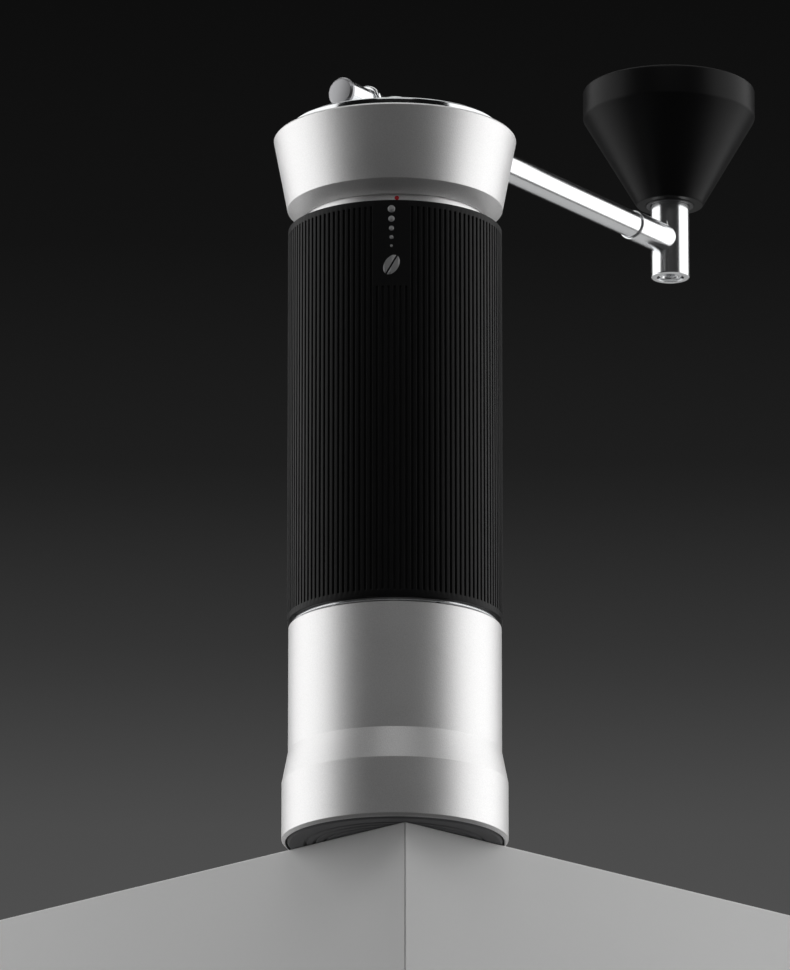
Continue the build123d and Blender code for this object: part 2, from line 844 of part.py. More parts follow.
# hub that slips over the spindle's hexagon; the arm goes through it
with BuildPart() as crank_hub:
    with BuildSketch(Plane.XZ):
        outline(
            (0, hub_bottom_z),
            (hub_radius - lead_in, hub_bottom_z),
            (hub_radius, hub_bottom_z + lead_in),
            (hub_radius, lid_clip_z),
            (clip_groove_radius, lid_clip_z),
            (clip_groove_radius, lid_clip_z + circlip_thickness),
            (hub_radius, lid_clip_z + circlip_thickness),
            (hub_radius, hub_flange_z),
            (hub_flange_radius, hub_flange_z),
            (hub_flange_radius, hub_flange_z + hub_flange_height - hub_flange_chamfer),
            (hub_flange_radius - hub_flange_chamfer, hub_flange_z + hub_flange_height),
            (hub_radius, hub_flange_z + hub_flange_height),
            (hub_radius, hub_top_z - (hub_radius - hub_crown_radius)),
            (hub_crown_radius, hub_top_z),
            (0, hub_top_z),
        )
    revolve(axis=Axis.Z)
    with BuildSketch(Plane.XY.offset(hub_bottom_z)):
        RegularPolygon(drive_hex / 2 + running, 6, major_radius=False)
    extrude(amount=magnet_pocket_z - hub_bottom_z, mode=Mode.SUBTRACT)
    with BuildSketch(Plane.XY.offset(magnet_pocket_z)):
        Circle(hub_magnet_radius + fit)
    extrude(amount=hub_magnet_height, mode=Mode.SUBTRACT)
    with BuildSketch(along_arm(-hub_radius - 1)):
        Circle(rod_radius + fit / 2)
    extrude(amount=2 * hub_flange_radius, mode=Mode.SUBTRACT)
    with BuildSketch(Plane(origin=(0, 0, arm_z), x_dir=(1, 0, 0), z_dir=(0, 1, 0))):
        Circle(set_screw_radius + fit / 2)
    extrude(amount=hub_radius + 1, mode=Mode.SUBTRACT)
save(crank_hub, "crank_hub")

with BuildPart() as hub_magnet:
    with BuildSketch(Plane.XY.offset(magnet_pocket_z)):
        Circle(hub_magnet_radius)
    extrude(amount=hub_magnet_height - fit)
save(hub_magnet, "hub_magnet")

# headless screw that locks the arm in the hub
with BuildPart() as hub_set_screw:
    with BuildSketch(Plane(origin=(0, rod_radius + fit, arm_z), x_dir=(1, 0, 0), z_dir=(0, 1, 0))):
        Circle(set_screw_radius)
    extrude(amount=hub_radius - rod_radius - lead_in)
    with BuildSketch(Plane(origin=(0, hub_radius, arm_z), x_dir=(1, 0, 0), z_dir=(0, 1, 0))):
        RegularPolygon(set_screw_flats / 2, 6, major_radius=False)
    extrude(amount=-set_screw_socket_depth, mode=Mode.SUBTRACT)
save(hub_set_screw, "hub_set_screw")

circlip("lid_clip", clip_groove_radius + fit, bush_radius - gap, lid_clip_z, lid_clip_gap)

end_cap_thickness = 1.5
cap_stem_radius = 2.0
cap_stem_length = 6.0

# polished round bar
with BuildPart() as crank_arm:
    with BuildSketch(along_arm(end_cap_x + end_cap_thickness)):
        Circle(rod_radius)
    extrude(amount=rod_end_x - end_cap_x - end_cap_thickness)
    with BuildSketch(along_arm(end_cap_x + end_cap_thickness)):
        Circle(cap_stem_radius + fit)
    extrude(amount=cap_stem_length + gap, mode=Mode.SUBTRACT)
save(crank_arm, "crank_arm")

# plug that closes the short end of the bar
with BuildPart() as arm_end_cap:
    with BuildSketch(along_arm(end_cap_x)):
        Circle(end_cap_radius)
    extrude(amount=end_cap_thickness)
    chamfer(arm_end_cap.edges().group_by(Axis.X)[0], length=lead_in)
    chamfer(arm_end_cap.edges().group_by(Axis.X)[-1], length=lead_in / 2)
    with BuildSketch(along_arm(end_cap_x + end_cap_thickness)):
        Circle(cap_stem_radius)
    extrude(amount=cap_stem_length)
save(arm_end_cap, "arm_end_cap")

# collar pressed on the bar beside the hub
collar_width = 1.5
with BuildPart() as arm_collar:
    with BuildSketch(along_arm(collar_x)):
        Circle(collar_radius)
        Circle(rod_radius + fit / 2, mode=Mode.SUBTRACT)
    extrude(amount=collar_width)
    chamfer(arm_collar.edges().filter_by(GeomType.CIRCLE).sort_by(SortBy.RADIUS)[-2:], length=edge_break)
save(arm_collar, "arm_collar")


# --- knob post and knob --------------------------------------------------------------------

post_top_z = 236.0
counterbore_radius = 3.7
counterbore_depth = 2.6
axle_radius = 2.0
axle_head_radius = 3.35
axle_head_height = 1.9
axle_head_z = post_bottom_z + axle_head_inset
bush_wall = 1.1
knob_bore = post_radius + running + bush_wall + fit / 2
insert_radius = 4.0
insert_bottom_z = post_top_z + insert_clearance
insert_top_z = 241.4
knob_plane = Plane(origin=(arm_length, 0, 0))

# upright post with the socket that takes the end of the bar
with BuildPart() as knob_post:
    with BuildSketch(knob_plane.offset(post_bottom_z)):
        Circle(post_radius)
    extrude(amount=post_top_z - post_bottom_z)
    chamfer(knob_post.edges().group_by(Axis.Z)[0], length=edge_break)
    chamfer(knob_post.edges().group_by(Axis.Z)[-1], length=lead_in)
    with BuildSketch(along_arm(socket_mouth_x)):
        Circle(socket_radius)
    extrude(amount=arm_length - socket_mouth_x)
    mouth = knob_post.edges().filter_by(GeomType.CIRCLE).group_by(Axis.X)[0]
    chamfer(mouth, length=edge_break / 2)
    with BuildSketch(along_arm(socket_mouth_x)):
        Circle(rod_radius + fit / 2)
    extrude(amount=rod_end_x - socket_mouth_x + fit, mode=Mode.SUBTRACT)
    with BuildSketch(knob_plane.offset(post_bottom_z)):
        Circle(axle_radius + gap)
    extrude(amount=post_top_z - post_bottom_z, mode=Mode.SUBTRACT)
    with BuildSketch(knob_plane.offset(post_bottom_z)):
        Circle(counterbore_radius)
    extrude(amount=counterbore_depth, mode=Mode.SUBTRACT)
save(knob_post, "knob_post")

knob_axis = Axis((arm_length, 0, 0), (0, 0, 1))

# inverted cone with a straight band at the top and a shallow dish in its crown
with BuildPart() as knob:
    with BuildSketch(Plane(origin=(arm_length, 0, 0), x_dir=(1, 0, 0), z_dir=(0, -1, 0))):
        outline(
            (knob_bore, knob_bottom_z),
            (knob_foot_radius, knob_bottom_z),
            (knob_radius, knob_band_z),
            (knob_radius, knob_top_z),
            (0, knob_top_z),
            (0, insert_top_z + insert_ease),
            (insert_radius + fit / 2, insert_top_z + insert_ease),
            (insert_radius + fit / 2, insert_bottom_z - gap),
            (knob_bore, insert_bottom_z - gap),
        )
    revolve(axis=knob_axis)
    with BuildSketch(knob_plane.offset(knob_top_z)):
        Circle(knob_dish_radius)
    extrude(amount=-knob_dish_depth, taper=knob_dish_taper, mode=Mode.SUBTRACT)
    rims = knob.edges().filter_by(GeomType.CIRCLE).sort_by(SortBy.RADIUS)
    fillet(rims[-2:], radius=knob_fillet)
    foot_rim = rims.filter_by_position(Axis.Z, knob_bottom_z - search, knob_bottom_z + search)
    chamfer(foot_rim.sort_by(SortBy.RADIUS)[-1], length=edge_break)
save(knob, "knob")


def knob_bush(label, bottom, top):
    """Plain bush pressed into the knob, turning on the post."""
    with BuildPart() as bush:
        with BuildSketch(knob_plane.offset(bottom)):
            Circle(post_radius + running + bush_wall)
            Circle(post_radius + running, mode=Mode.SUBTRACT)
        extrude(amount=top - bottom)
    save(bush, label)


knob_bush("lower_knob_bush", knob_bottom_z - bush_proud, lower_bush_top_z)
knob_bush("upper_knob_bush", upper_bush_bottom_z, post_top_z)

# threaded brass insert in the crown of the knob
with BuildPart() as knob_insert:
    with BuildSketch(knob_plane.offset(insert_bottom_z)):
        Circle(insert_radius)
        Circle(axle_radius + fit / 2, mode=Mode.SUBTRACT)
    extrude(amount=insert_top_z - insert_bottom_z)
save(knob_insert, "knob_insert")

# long button-head screw up through the post into the insert
with BuildPart() as axle_screw:
    with BuildSketch(knob_plane.offset(axle_head_z)):
        Circle(axle_head_radius)
    extrude(amount=axle_head_height)
    fillet(axle_screw.edges().group_by(Axis.Z)[0], radius=axle_head_fillet)
    with BuildSketch(knob_plane.offset(axle_head_z + axle_head_height)):
        Circle(axle_radius)
    extrude(amount=insert_top_z - axle_head_z - axle_head_height)
    with BuildSketch(knob_plane.offset(axle_head_z)):
        RegularPolygon(axle_socket_flats / 2, 6, major_radius=False)
    extrude(amount=axle_socket_depth, mode=Mode.SUBTRACT)
save(axle_screw, "axle_screw")
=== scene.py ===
# %% [markdown]
# # A hand crank coffee grinder
# The grinder is a imported CAD model. It comes in as a fixed frame: every node stays where it is, and each
# piece made here, apart from the spring, rides on one of its moving bodies. Everything is in metres, with z
# = 0 on the surface it stands on. The steps are: the camera and light, a few modelling tools, the outside
# pieces, and then the finishes.

# %% The frame
import json
import math

import bmesh
import bpy
from mathutils import Matrix, Vector


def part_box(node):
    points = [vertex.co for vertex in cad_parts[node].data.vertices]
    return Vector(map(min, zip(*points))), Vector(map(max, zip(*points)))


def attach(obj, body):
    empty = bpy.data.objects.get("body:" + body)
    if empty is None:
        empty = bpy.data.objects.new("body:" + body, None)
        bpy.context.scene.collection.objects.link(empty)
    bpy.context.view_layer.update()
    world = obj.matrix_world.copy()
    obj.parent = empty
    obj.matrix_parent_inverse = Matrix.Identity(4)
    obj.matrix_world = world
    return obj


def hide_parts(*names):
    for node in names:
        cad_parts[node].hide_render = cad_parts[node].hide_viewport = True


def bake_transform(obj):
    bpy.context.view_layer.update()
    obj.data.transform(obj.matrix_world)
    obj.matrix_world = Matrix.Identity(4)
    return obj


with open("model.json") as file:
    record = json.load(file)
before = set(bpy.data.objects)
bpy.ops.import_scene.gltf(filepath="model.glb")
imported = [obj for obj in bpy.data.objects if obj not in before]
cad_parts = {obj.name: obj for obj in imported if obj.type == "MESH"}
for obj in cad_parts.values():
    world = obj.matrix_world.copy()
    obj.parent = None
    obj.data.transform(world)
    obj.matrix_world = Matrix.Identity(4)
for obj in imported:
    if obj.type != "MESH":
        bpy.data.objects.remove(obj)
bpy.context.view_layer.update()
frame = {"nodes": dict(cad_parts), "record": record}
MM = 0.001

# %% [markdown]
# ## Measures from the frame
# Places are read from the boxes of the CAD nodes, so that a change there is followed here. A piece turned
# on a lathe has its largest radius at half the width of its box. A point about the axis is easier to think
# of as a radius, an angle and a height, so one helper turns those into x, y and z.


# %% Measuring helpers
def low(node):
    """Height of a node's lowest point."""
    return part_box(node)[0].z


def high(node):
    """Height of a node's highest point."""
    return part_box(node)[1].z


def girth(node):
    """Largest radius of a node that is turned about an upright axis."""
    lowest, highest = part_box(node)
    return (highest.y - lowest.y) / 2


def around(radius, angle, height):
    """Point at a radius, an angle and a height about the grinder's axis."""
    return Vector((radius * math.cos(angle), radius * math.sin(angle), height))


post_x = sum(corner.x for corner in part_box("knob")) / 2
arm_z = sum(corner.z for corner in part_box("crank_arm")) / 2
print(f"arm at {arm_z / MM:.1f} mm, knob post at {post_x / MM:.1f} mm")

# %% [markdown]
# ## The camera
# A long lens stands low down and well away, and looks up at the grinder by 16 degrees. From so far off the
# upright edges stay almost parallel, and the round edges all arch upwards. The camera stands on the side of
# the smooth pad, where the arm points away to the right.

# %% Camera
CAMERA_DISTANCE = 2.2796
CAMERA_HEIGHT = -0.56475
CAMERA_TILT = math.radians(16.2)
VIEW_ANGLE = math.radians(-145.13)

eye = bpy.data.cameras.new("camera")
eye.sensor_width = 36
eye.lens = 334.0
eye.clip_end = 50
camera = bpy.data.objects.new("camera", eye)
bpy.context.scene.collection.objects.link(camera)
camera.location = around(CAMERA_DISTANCE, VIEW_ANGLE, CAMERA_HEIGHT)
camera.rotation_euler = (math.pi / 2 + CAMERA_TILT, 0, VIEW_ANGLE + math.pi / 2)
bpy.context.scene.camera = camera
print("camera at", [round(v, 3) for v in camera.location])

# %% [markdown]
# ## Soft studio light
# Bare metal only shows what stands around it. A tall soft box on each side gives bright flanks, and the dim
# space in front gives the dark middle that makes a round body read as round.


# %% Lights
GRINDER_MIDDLE = 0.11


def soft_box(name, turn, height, distance, width, tall, power, aim=GRINDER_MIDDLE):
    """Area light, turned in degrees from the camera's side, that looks at a height of the grinder."""
    lamp = bpy.data.lights.new(name, "AREA")
    lamp.shape = "RECTANGLE"
    lamp.size = width
    lamp.size_y = tall
    lamp.energy = power
    stand = bpy.data.objects.new(name, lamp)
    bpy.context.scene.collection.objects.link(stand)
    stand.location = around(distance, VIEW_ANGLE + math.radians(turn), height)
    look = Vector((0, 0, aim)) - stand.location
    stand.rotation_euler = look.to_track_quat("-Z", "Y").to_euler()
    stand.visible_camera = False


soft_box("left_box", turn=-103, height=0.3, distance=0.95, width=1.35, tall=1.5, power=9.6)
soft_box("right_box", turn=98, height=0.3, distance=0.95, width=1.35, tall=1.5, power=10.2)
soft_box("high_front_box", turn=0, height=1.5, distance=1.3, width=1.1, tall=0.8, power=3.9)
soft_box("overhead_box", turn=180, height=1.6, distance=0.35, width=1.4, tall=1.4, power=6.0, aim=0.2)
print("lights:", len(bpy.data.lights))

# %% [markdown]
# ## The room
# The room is dark above and grey below, so the metal that faces the camera mirrors a calm, even shade.
# Walls could be built for this, but a world shader costs nothing: it blends greys by how far a direction
# points upwards. Each stop below is that upward part, from 0 to 1, and its grey.

# %% Room
GREYS = [
    (0.0, 0.05),
    (0.1, 0.05),
    (0.22, 0.085),
    (0.243, 0.07),
    (0.26, 0.036),
    (0.28, 0.0135),
    (0.305, 0.0065),
    (0.335, 0.004),
]
world = bpy.data.worlds.new("room")
bpy.context.scene.world = world
world.use_nodes = True
room = world.node_tree
direction = room.nodes.new("ShaderNodeTexCoord")
upward = room.nodes.new("ShaderNodeSeparateXYZ")
shade = room.nodes.new("ShaderNodeValToRGB")
room.links.new(direction.outputs["Generated"], upward.inputs[0])
room.links.new(upward.outputs["Z"], shade.inputs["Fac"])
room.links.new(shade.outputs["Color"], room.nodes["Background"].inputs["Color"])
stops = shade.color_ramp.elements
while len(stops) < len(GREYS):
    stops.new(0.5)
for stop, (place, grey) in zip(stops, GREYS):
    stop.position = place
    stop.color = (grey, grey, grey, 1)
bpy.context.scene.view_settings.view_transform = "Standard"
print("greys in the room:", len(stops))

# %% [markdown]
# ## Turned pieces
# Almost every outside piece was cut on a lathe. So is its model: an outline of radius and height is spun
# about an upright axis. A stack of cylinders would be quicker, but it can't hold a taper and its chamfers
# in one closed skin, as a single outline does. An outline that starts and ends on the axis closes there,
# and any other one is a ring.


# %% Spinning an outline
WELD = 1e-7


def spun(outline, turns=144, centre=(0.0, 0.0)):
    """A bmesh spun from (radius, height, ...) points; a radius of 0 is a pole."""
    shape = bmesh.new()
    loop = [shape.verts.new((centre[0] + point[0], centre[1], point[1])) for point in outline]
    ends_on_axis = outline[0][0] == 0 and outline[-1][0] == 0
    pairs = zip(loop, loop[1:] if ends_on_axis else loop[1:] + loop[:1])
    edges = [shape.edges.new(pair) for pair in pairs]
    bmesh.ops.spin(
        shape,
        geom=loop + edges,
        cent=(centre[0], centre[1], 0),
        axis=(0, 0, 1),
        angle=math.tau,
        steps=turns,
        use_merge=True,
    )
    bmesh.ops.remove_doubles(shape, verts=shape.verts, dist=WELD)
    bmesh.ops.recalc_face_normals(shape, faces=shape.faces)
    return shape


# %% [markdown]
# ## Broken edges
# No machined edge is truly sharp: the machinist breaks it, and that narrow face is what catches the light.
# A Bevel modifier would give every edge one width. Here each corner of an outline may state its own,
# because a real radius and a broken edge sit side by side. A corner's bevel may also take a second
# material, because a chamfer cut after blasting stays bright.


# %% Breaking edges
NEAR = 2e-6
WIDE_ROUND = 1 * MM
WIDE_ROUND_STEPS = 5


def ring_edges(shape, radius, height, centre):
    """Edges of the circle at a radius and height."""

    def on_ring(vert):
        reach = math.hypot(vert.co.x - centre[0], vert.co.y - centre[1])
        return abs(reach - radius) < NEAR and abs(vert.co.z - height) < NEAR

    return [edge for edge in shape.edges if all(on_ring(vert) for vert in edge.verts)]


def break_edges(shape, outline, width, centre=(0.0, 0.0)):
    """Bevels the corners of an outline; a point's third value is its own width, its fourth a material."""
    corners = {}
    for point in outline:
        own = point[2] if len(point) > 2 else width
        slot = point[3] if len(point) > 3 else -1
        if own > 0 and point[0] > 0:
            corners.setdefault((own, slot), []).append(point)
    for (own, slot), points in corners.items():
        edges = [e for p in points for e in ring_edges(shape, p[0], p[1], centre)]
        if edges:
            bmesh.ops.bevel(
                shape,
                geom=edges,
                offset=own,
                offset_type="OFFSET",
                affect="EDGES",
                segments=2 if own < WIDE_ROUND else WIDE_ROUND_STEPS,
                profile=0.5,
                material=slot,
                clamp_overlap=True,
            )


# %% [markdown]
# ## From bmesh to piece
# A piece is smooth shaded, and weighted normals keep its large faces flat right up to the bevels. It rides
# on a body, so that it moves with the joints, and it stands for the CAD nodes that it replaces.


# %% Finished pieces
BRIGHT = 1


def as_object(shape, name):
    """Welds a bmesh, points its faces outwards and turns it into a smooth-shaded object."""
    bmesh.ops.remove_doubles(shape, verts=shape.verts, dist=WELD)
    bmesh.ops.recalc_face_normals(shape, faces=shape.faces)
    for face in shape.faces:
        face.smooth = True
    data = bpy.data.meshes.new(name)
    shape.to_mesh(data)
    shape.free()
    piece = bpy.data.objects.new(name, data)
    bpy.context.scene.collection.objects.link(piece)
    return piece


def finished(shape, name, body, *stands_for):
    """A piece with even normals that rides on a body and stands for CAD nodes."""
    piece = as_object(shape, name)
    even = piece.modifiers.new("even_normals", "WEIGHTED_NORMAL")
    even.weight = 100
    even.keep_sharp = True
    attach(piece, body)
    if stands_for:
        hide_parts(*stands_for)
    return piece


def turned(name, body, outline, width=0.15 * MM, turns=144, centre=(0.0, 0.0), replace=()):
    """A lathe piece from outline to object."""
    shape = spun(outline, turns, centre)
    break_edges(shape, outline, width, centre)
    faces = len(shape.faces)
    piece = finished(shape, name, body, *replace)
    print(f"{name}: {faces} faces")
    return piece


def cut_bright(piece, inside):
    """Gives the bright cut, the second material, to the faces whose centre passes a test."""
    chosen = [face for face in piece.data.polygons if inside(face.center)]
    for face in chosen:
        face.material_index = BRIGHT
    print(f"{piece.name}: {len(chosen)} faces cut bright")

# %% [markdown]
# ## Catch cup and foot
# The cup is one turned piece of aluminium: a heavy foot, a short taper, and a straight wall up to the grip.
# One outline gives all of it, with the inside as well, because the cup comes off and is looked into. Its
# lower edge has a chamfer, and a round pad of grey elastomer sits in the underside with a fine gap round
# it.

# %% Cup
CUP_STEP = 1.65 * MM
CUP_THICK = 3 * MM
CUP_FLOOR = 5.5 * MM
CUP_FLOOR_ROUND = 2.5 * MM
TAPER_LOW = 16.1 * MM
TAPER_HIGH = 24.5 * MM
FOOT_CHAMFER = 0.8 * MM
PAD_RECESS = 2 * MM
PAD_GAP = 0.45 * MM
cup_low, cup_high, cup_base = low("catch_cup"), high("catch_cup"), girth("catch_cup")
cup_wall = cup_base - CUP_STEP
cup_bore = cup_wall - CUP_THICK
pad_radius = girth("foot_pad")
cup = turned(
    "cup_shell",
    "catch_cup",
    [
        (0, cup_low + PAD_RECESS),
        (pad_radius + PAD_GAP, cup_low + PAD_RECESS),
        (pad_radius + PAD_GAP, cup_low, 0.08 * MM),
        (cup_base - FOOT_CHAMFER, cup_low, 0.08 * MM),
        (cup_base, cup_low + FOOT_CHAMFER, 0.1 * MM, BRIGHT),
        (cup_base, TAPER_LOW, 0.06 * MM),
        (cup_wall, TAPER_HIGH, 0.06 * MM),
        (cup_wall, cup_high, 0.1 * MM),
        (cup_bore, cup_high, 0.2 * MM, BRIGHT),
        (cup_bore, CUP_FLOOR, CUP_FLOOR_ROUND),
        (0, CUP_FLOOR),
    ],
    turns=180,
    replace=["catch_cup"],
)

# %% Foot pad with moulded rings
FIRST_GROOVE = 6 * MM
GROOVE_STEP = 2.4 * MM
GROOVE_SLOPE = 0.3 * MM
GROOVE_FLOOR = 0.5 * MM
GROOVE_TALL = 0.35 * MM
PAD_PLAIN_EDGE = 3 * MM
PAD_CHAMFER = 0.6 * MM
pad_top = high("foot_pad")
pad_outline = [(0, 0)]
groove = FIRST_GROOVE
while groove < pad_radius - PAD_PLAIN_EDGE:
    pad_outline += [
        (groove, 0),
        (groove + GROOVE_SLOPE, GROOVE_TALL),
        (groove + GROOVE_SLOPE + GROOVE_FLOOR, GROOVE_TALL),
        (groove + 2 * GROOVE_SLOPE + GROOVE_FLOOR, 0),
    ]
    groove += GROOVE_STEP
pad_outline += [
    (pad_radius - PAD_CHAMFER, 0),
    (pad_radius, PAD_CHAMFER),
    (pad_radius, pad_top),
    (0, pad_top),
]
foot = turned("foot", "catch_cup", pad_outline, width=0.08 * MM, turns=96, replace=["foot_pad"])

# %% [markdown]
# ## Magnets
# Six small magnets are pressed into the cup's rim. They show only when the cup is off. They are one piece
# of six short cylinders, because they never move apart.

# %% Cup magnets
MAGNETS = 6
MAGNET_CIRCLE = 26.5 * MM
MAGNET_RADIUS = 1.1 * MM
MAGNET_LONG = 3 * MM
MAGNET_SUNK = 1.46 * MM
magnets = bmesh.new()
for number in range(MAGNETS):
    spot = around(MAGNET_CIRCLE, number * math.tau / MAGNETS, cup_high - MAGNET_SUNK)
    bmesh.ops.create_cone(
        magnets,
        cap_ends=True,
        segments=32,
        radius1=MAGNET_RADIUS,
        radius2=MAGNET_RADIUS,
        depth=MAGNET_LONG,
        matrix=Matrix.Translation(spot),
    )
rims = [e for e in magnets.edges if e.is_manifold and e.calc_face_angle() > 1]
bmesh.ops.bevel(magnets, geom=rims, offset=0.15 * MM, affect="EDGES", segments=2, profile=0.5, material=-1)
cup_magnets = finished(magnets, "rim_magnets", "catch_cup", "cup_magnets")
print("magnets:", MAGNETS)

# %% [markdown]
# ## Body tube, end ring and index dot
# The tube carries everything. Outside, only its neck shows, under the flared ring, with a red enamel dot
# that the grind setting is read against. Below the grip its spigot shows when the cup is off, so the spigot
# and its seal groove are in the outline too. The steel end ring under the grip is what the magnets hold.

# %% Tube
SPIGOT = 24.9 * MM
SPIGOT_LOW = 50.0 * MM
SPIGOT_LEAD = 0.5 * MM
SPIGOT_BORE = 22.0 * MM
CUP_SEAL_LOW = 53.0 * MM
CUP_SEAL_HIGH = 54.6 * MM
CUP_SEAL_SEAT = 23.9 * MM
UNDER_GRIP = 26.3 * MM
GRIP_OVERLAP = 0.5 * MM
NECK = 24.15 * MM
NECK_TOP = 177.5 * MM
RING_SEAL_LOW = 171.4 * MM
RING_SEAL_HIGH = 173.0 * MM
RING_SEAL_SEAT = 23.05 * MM
HOPPER_BORE = 20.0 * MM
BURR_BORE = 21.05 * MM
BURR_SHELF = 68.0 * MM
sleeve_low, sleeve_high = low("grip_sleeve"), high("grip_sleeve")
tube = turned(
    "tube",
    "body",
    [
        (SPIGOT_BORE, SPIGOT_LOW),
        (SPIGOT - SPIGOT_LEAD, SPIGOT_LOW),
        (SPIGOT, SPIGOT_LOW + SPIGOT_LEAD),
        (SPIGOT, CUP_SEAL_LOW),
        (CUP_SEAL_SEAT, CUP_SEAL_LOW),
        (CUP_SEAL_SEAT, CUP_SEAL_HIGH),
        (SPIGOT, CUP_SEAL_HIGH),
        (SPIGOT, sleeve_low),
        (UNDER_GRIP, sleeve_low),
        (UNDER_GRIP, sleeve_high - GRIP_OVERLAP),
        (NECK, sleeve_high - GRIP_OVERLAP),
        (NECK, RING_SEAL_LOW),
        (RING_SEAL_SEAT, RING_SEAL_LOW),
        (RING_SEAL_SEAT, RING_SEAL_HIGH),
        (NECK, RING_SEAL_HIGH),
        (NECK, NECK_TOP),
        (HOPPER_BORE, NECK_TOP),
        (HOPPER_BORE, BURR_SHELF),
        (BURR_BORE, BURR_SHELF),
        (BURR_BORE, CUP_SEAL_LOW),
        (SPIGOT_BORE, CUP_SEAL_LOW),
    ],
    width=0.1 * MM,
    replace=["body_tube"],
)

# %% End ring
END_CHAMFER = 0.35 * MM
END_BORE = 24.95 * MM
end_low = low("end_ring")
end_radius = girth("end_ring")
end_ring = turned(
    "bright_end_ring",
    "body",
    [
        (END_BORE, end_low),
        (end_radius - END_CHAMFER, end_low, 0.05 * MM),
        (end_radius, end_low + END_CHAMFER, 0.05 * MM),
        (end_radius, sleeve_low),
        (END_BORE, sleeve_low),
    ],
    width=0.08 * MM,
    turns=180,
    replace=["end_ring"],
)

# %% Index dot
DOT_RADIUS = 0.62 * MM
DOT_THICK = 0.6 * MM
DOT_SUNK = 0.24 * MM
dot_low, dot_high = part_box("index_dot")
dot_middle = (dot_low + dot_high) / 2
dot_angle = math.atan2(dot_middle.y, dot_middle.x)
dot = bmesh.new()
bmesh.ops.create_cone(
    dot, cap_ends=True, segments=40, radius1=DOT_RADIUS, radius2=DOT_RADIUS, depth=DOT_THICK
)
rim = [e for e in dot.edges if e.calc_face_angle() > 1]
bmesh.ops.bevel(dot, geom=rim, offset=0.12 * MM, affect="EDGES", segments=3, profile=0.5, material=-1)
facing = Matrix.Rotation(dot_angle, 3, "Z") @ Matrix.Rotation(math.pi / 2, 3, "Y")
bmesh.ops.rotate(dot, cent=(0, 0, 0), matrix=facing, verts=dot.verts)
bmesh.ops.translate(dot, vec=around(NECK - DOT_SUNK, dot_angle, dot_middle.z), verts=dot.verts)
index_dot = finished(dot, "enamel_dot", "body", "index_dot")
print(f"index dot at {math.degrees(dot_angle):.0f} degrees")

# %% [markdown]
# ## Grip sleeve
# The grip is a moulded sleeve with fine upright ribs between two plain bands. Ribs could be painted on with
# a bump, but at the sleeve's outline a bump stays flat, so they are cut. A tube is spun with five steps to
# each rib. The grooves are the faces of two steps in every five: they are pushed inwards together, narrowed
# a little as a mould needs, and the edges of the ribs are rounded. Six grooves stop short below the smooth
# pad.

# %% Sleeve
RIBS = 116
STEPS = 5
GROOVE_STEPS = 2
SKIPPED = 6
PAD_ANGLE = math.radians(-147.0)
PAD_LOW = 143.7 * MM
BAND = 1.7 * MM
SLEEVE_BORE = 26.35 * MM
sleeve_radius = girth("grip_sleeve")
pitch = math.tau / RIBS
levels = [sleeve_low, sleeve_low + BAND, PAD_LOW, sleeve_high - BAND, sleeve_high]
outline = [(sleeve_radius, z) for z in levels] + [(SLEEVE_BORE, sleeve_high), (SLEEVE_BORE, sleeve_low)]
sleeve = spun(outline, RIBS * STEPS)
first_groove = PAD_ANGLE + pitch * (SKIPPED + 1) / 2 - pitch / STEPS
bmesh.ops.rotate(sleeve, cent=(0, 0, 0), matrix=Matrix.Rotation(first_groove, 3, "Z"), verts=sleeve.verts)
print(f"sleeve: {RIBS} ribs, {pitch * sleeve_radius / MM:.2f} mm apart")

# %% Rib grooves
GROOVE_DEPTH = 0.45 * MM
GROOVE_DRAFT = 0.1 * MM
RIB_ROUND = 0.1 * MM


def in_groove(face):
    """True for a face of the outer wall that belongs to a groove, and not to a rib, a band or the pad."""
    middle = face.calc_center_median()
    reach = math.hypot(middle.x, middle.y)
    on_wall = reach > sleeve_radius - GROOVE_DEPTH and abs(face.normal.z) < 0.5
    if not (on_wall and sleeve_low + BAND < middle.z < sleeve_high - BAND):
        return False
    along = (math.atan2(middle.y, middle.x) - first_groove) % math.tau / pitch
    under_pad = int(along) >= RIBS - SKIPPED and middle.z > PAD_LOW
    return along % 1 < GROOVE_STEPS / STEPS and not under_pad


floors = [face for face in sleeve.faces if in_groove(face)]
bmesh.ops.inset_region(
    sleeve,
    faces=floors,
    thickness=GROOVE_DRAFT,
    depth=-GROOVE_DEPTH,
    use_even_offset=True,
    use_boundary=True,
)
sharp = [e for e in sleeve.edges if e.is_manifold and e.calc_face_angle() > math.radians(35)]
bmesh.ops.bevel(
    sleeve,
    geom=sharp,
    offset=RIB_ROUND,
    affect="EDGES",
    segments=2,
    profile=0.5,
    material=-1,
    clamp_overlap=True,
)
print("sleeve:", len(floors), "groove faces,", len(sleeve.faces), "faces in all")
grip = finished(sleeve, "ribbed_grip", "body", "grip_sleeve")

# %% [markdown]
# ## Marks on the pad
# A small bean and five dots that grow from fine to coarse are printed on the smooth pad in grey ink. The
# ink is a skin of its own, so that its edge stays crisp. Flat marks are made first, cut into upright strips
# so that they can bend, given the ink's thickness, and then wrapped round the sleeve.


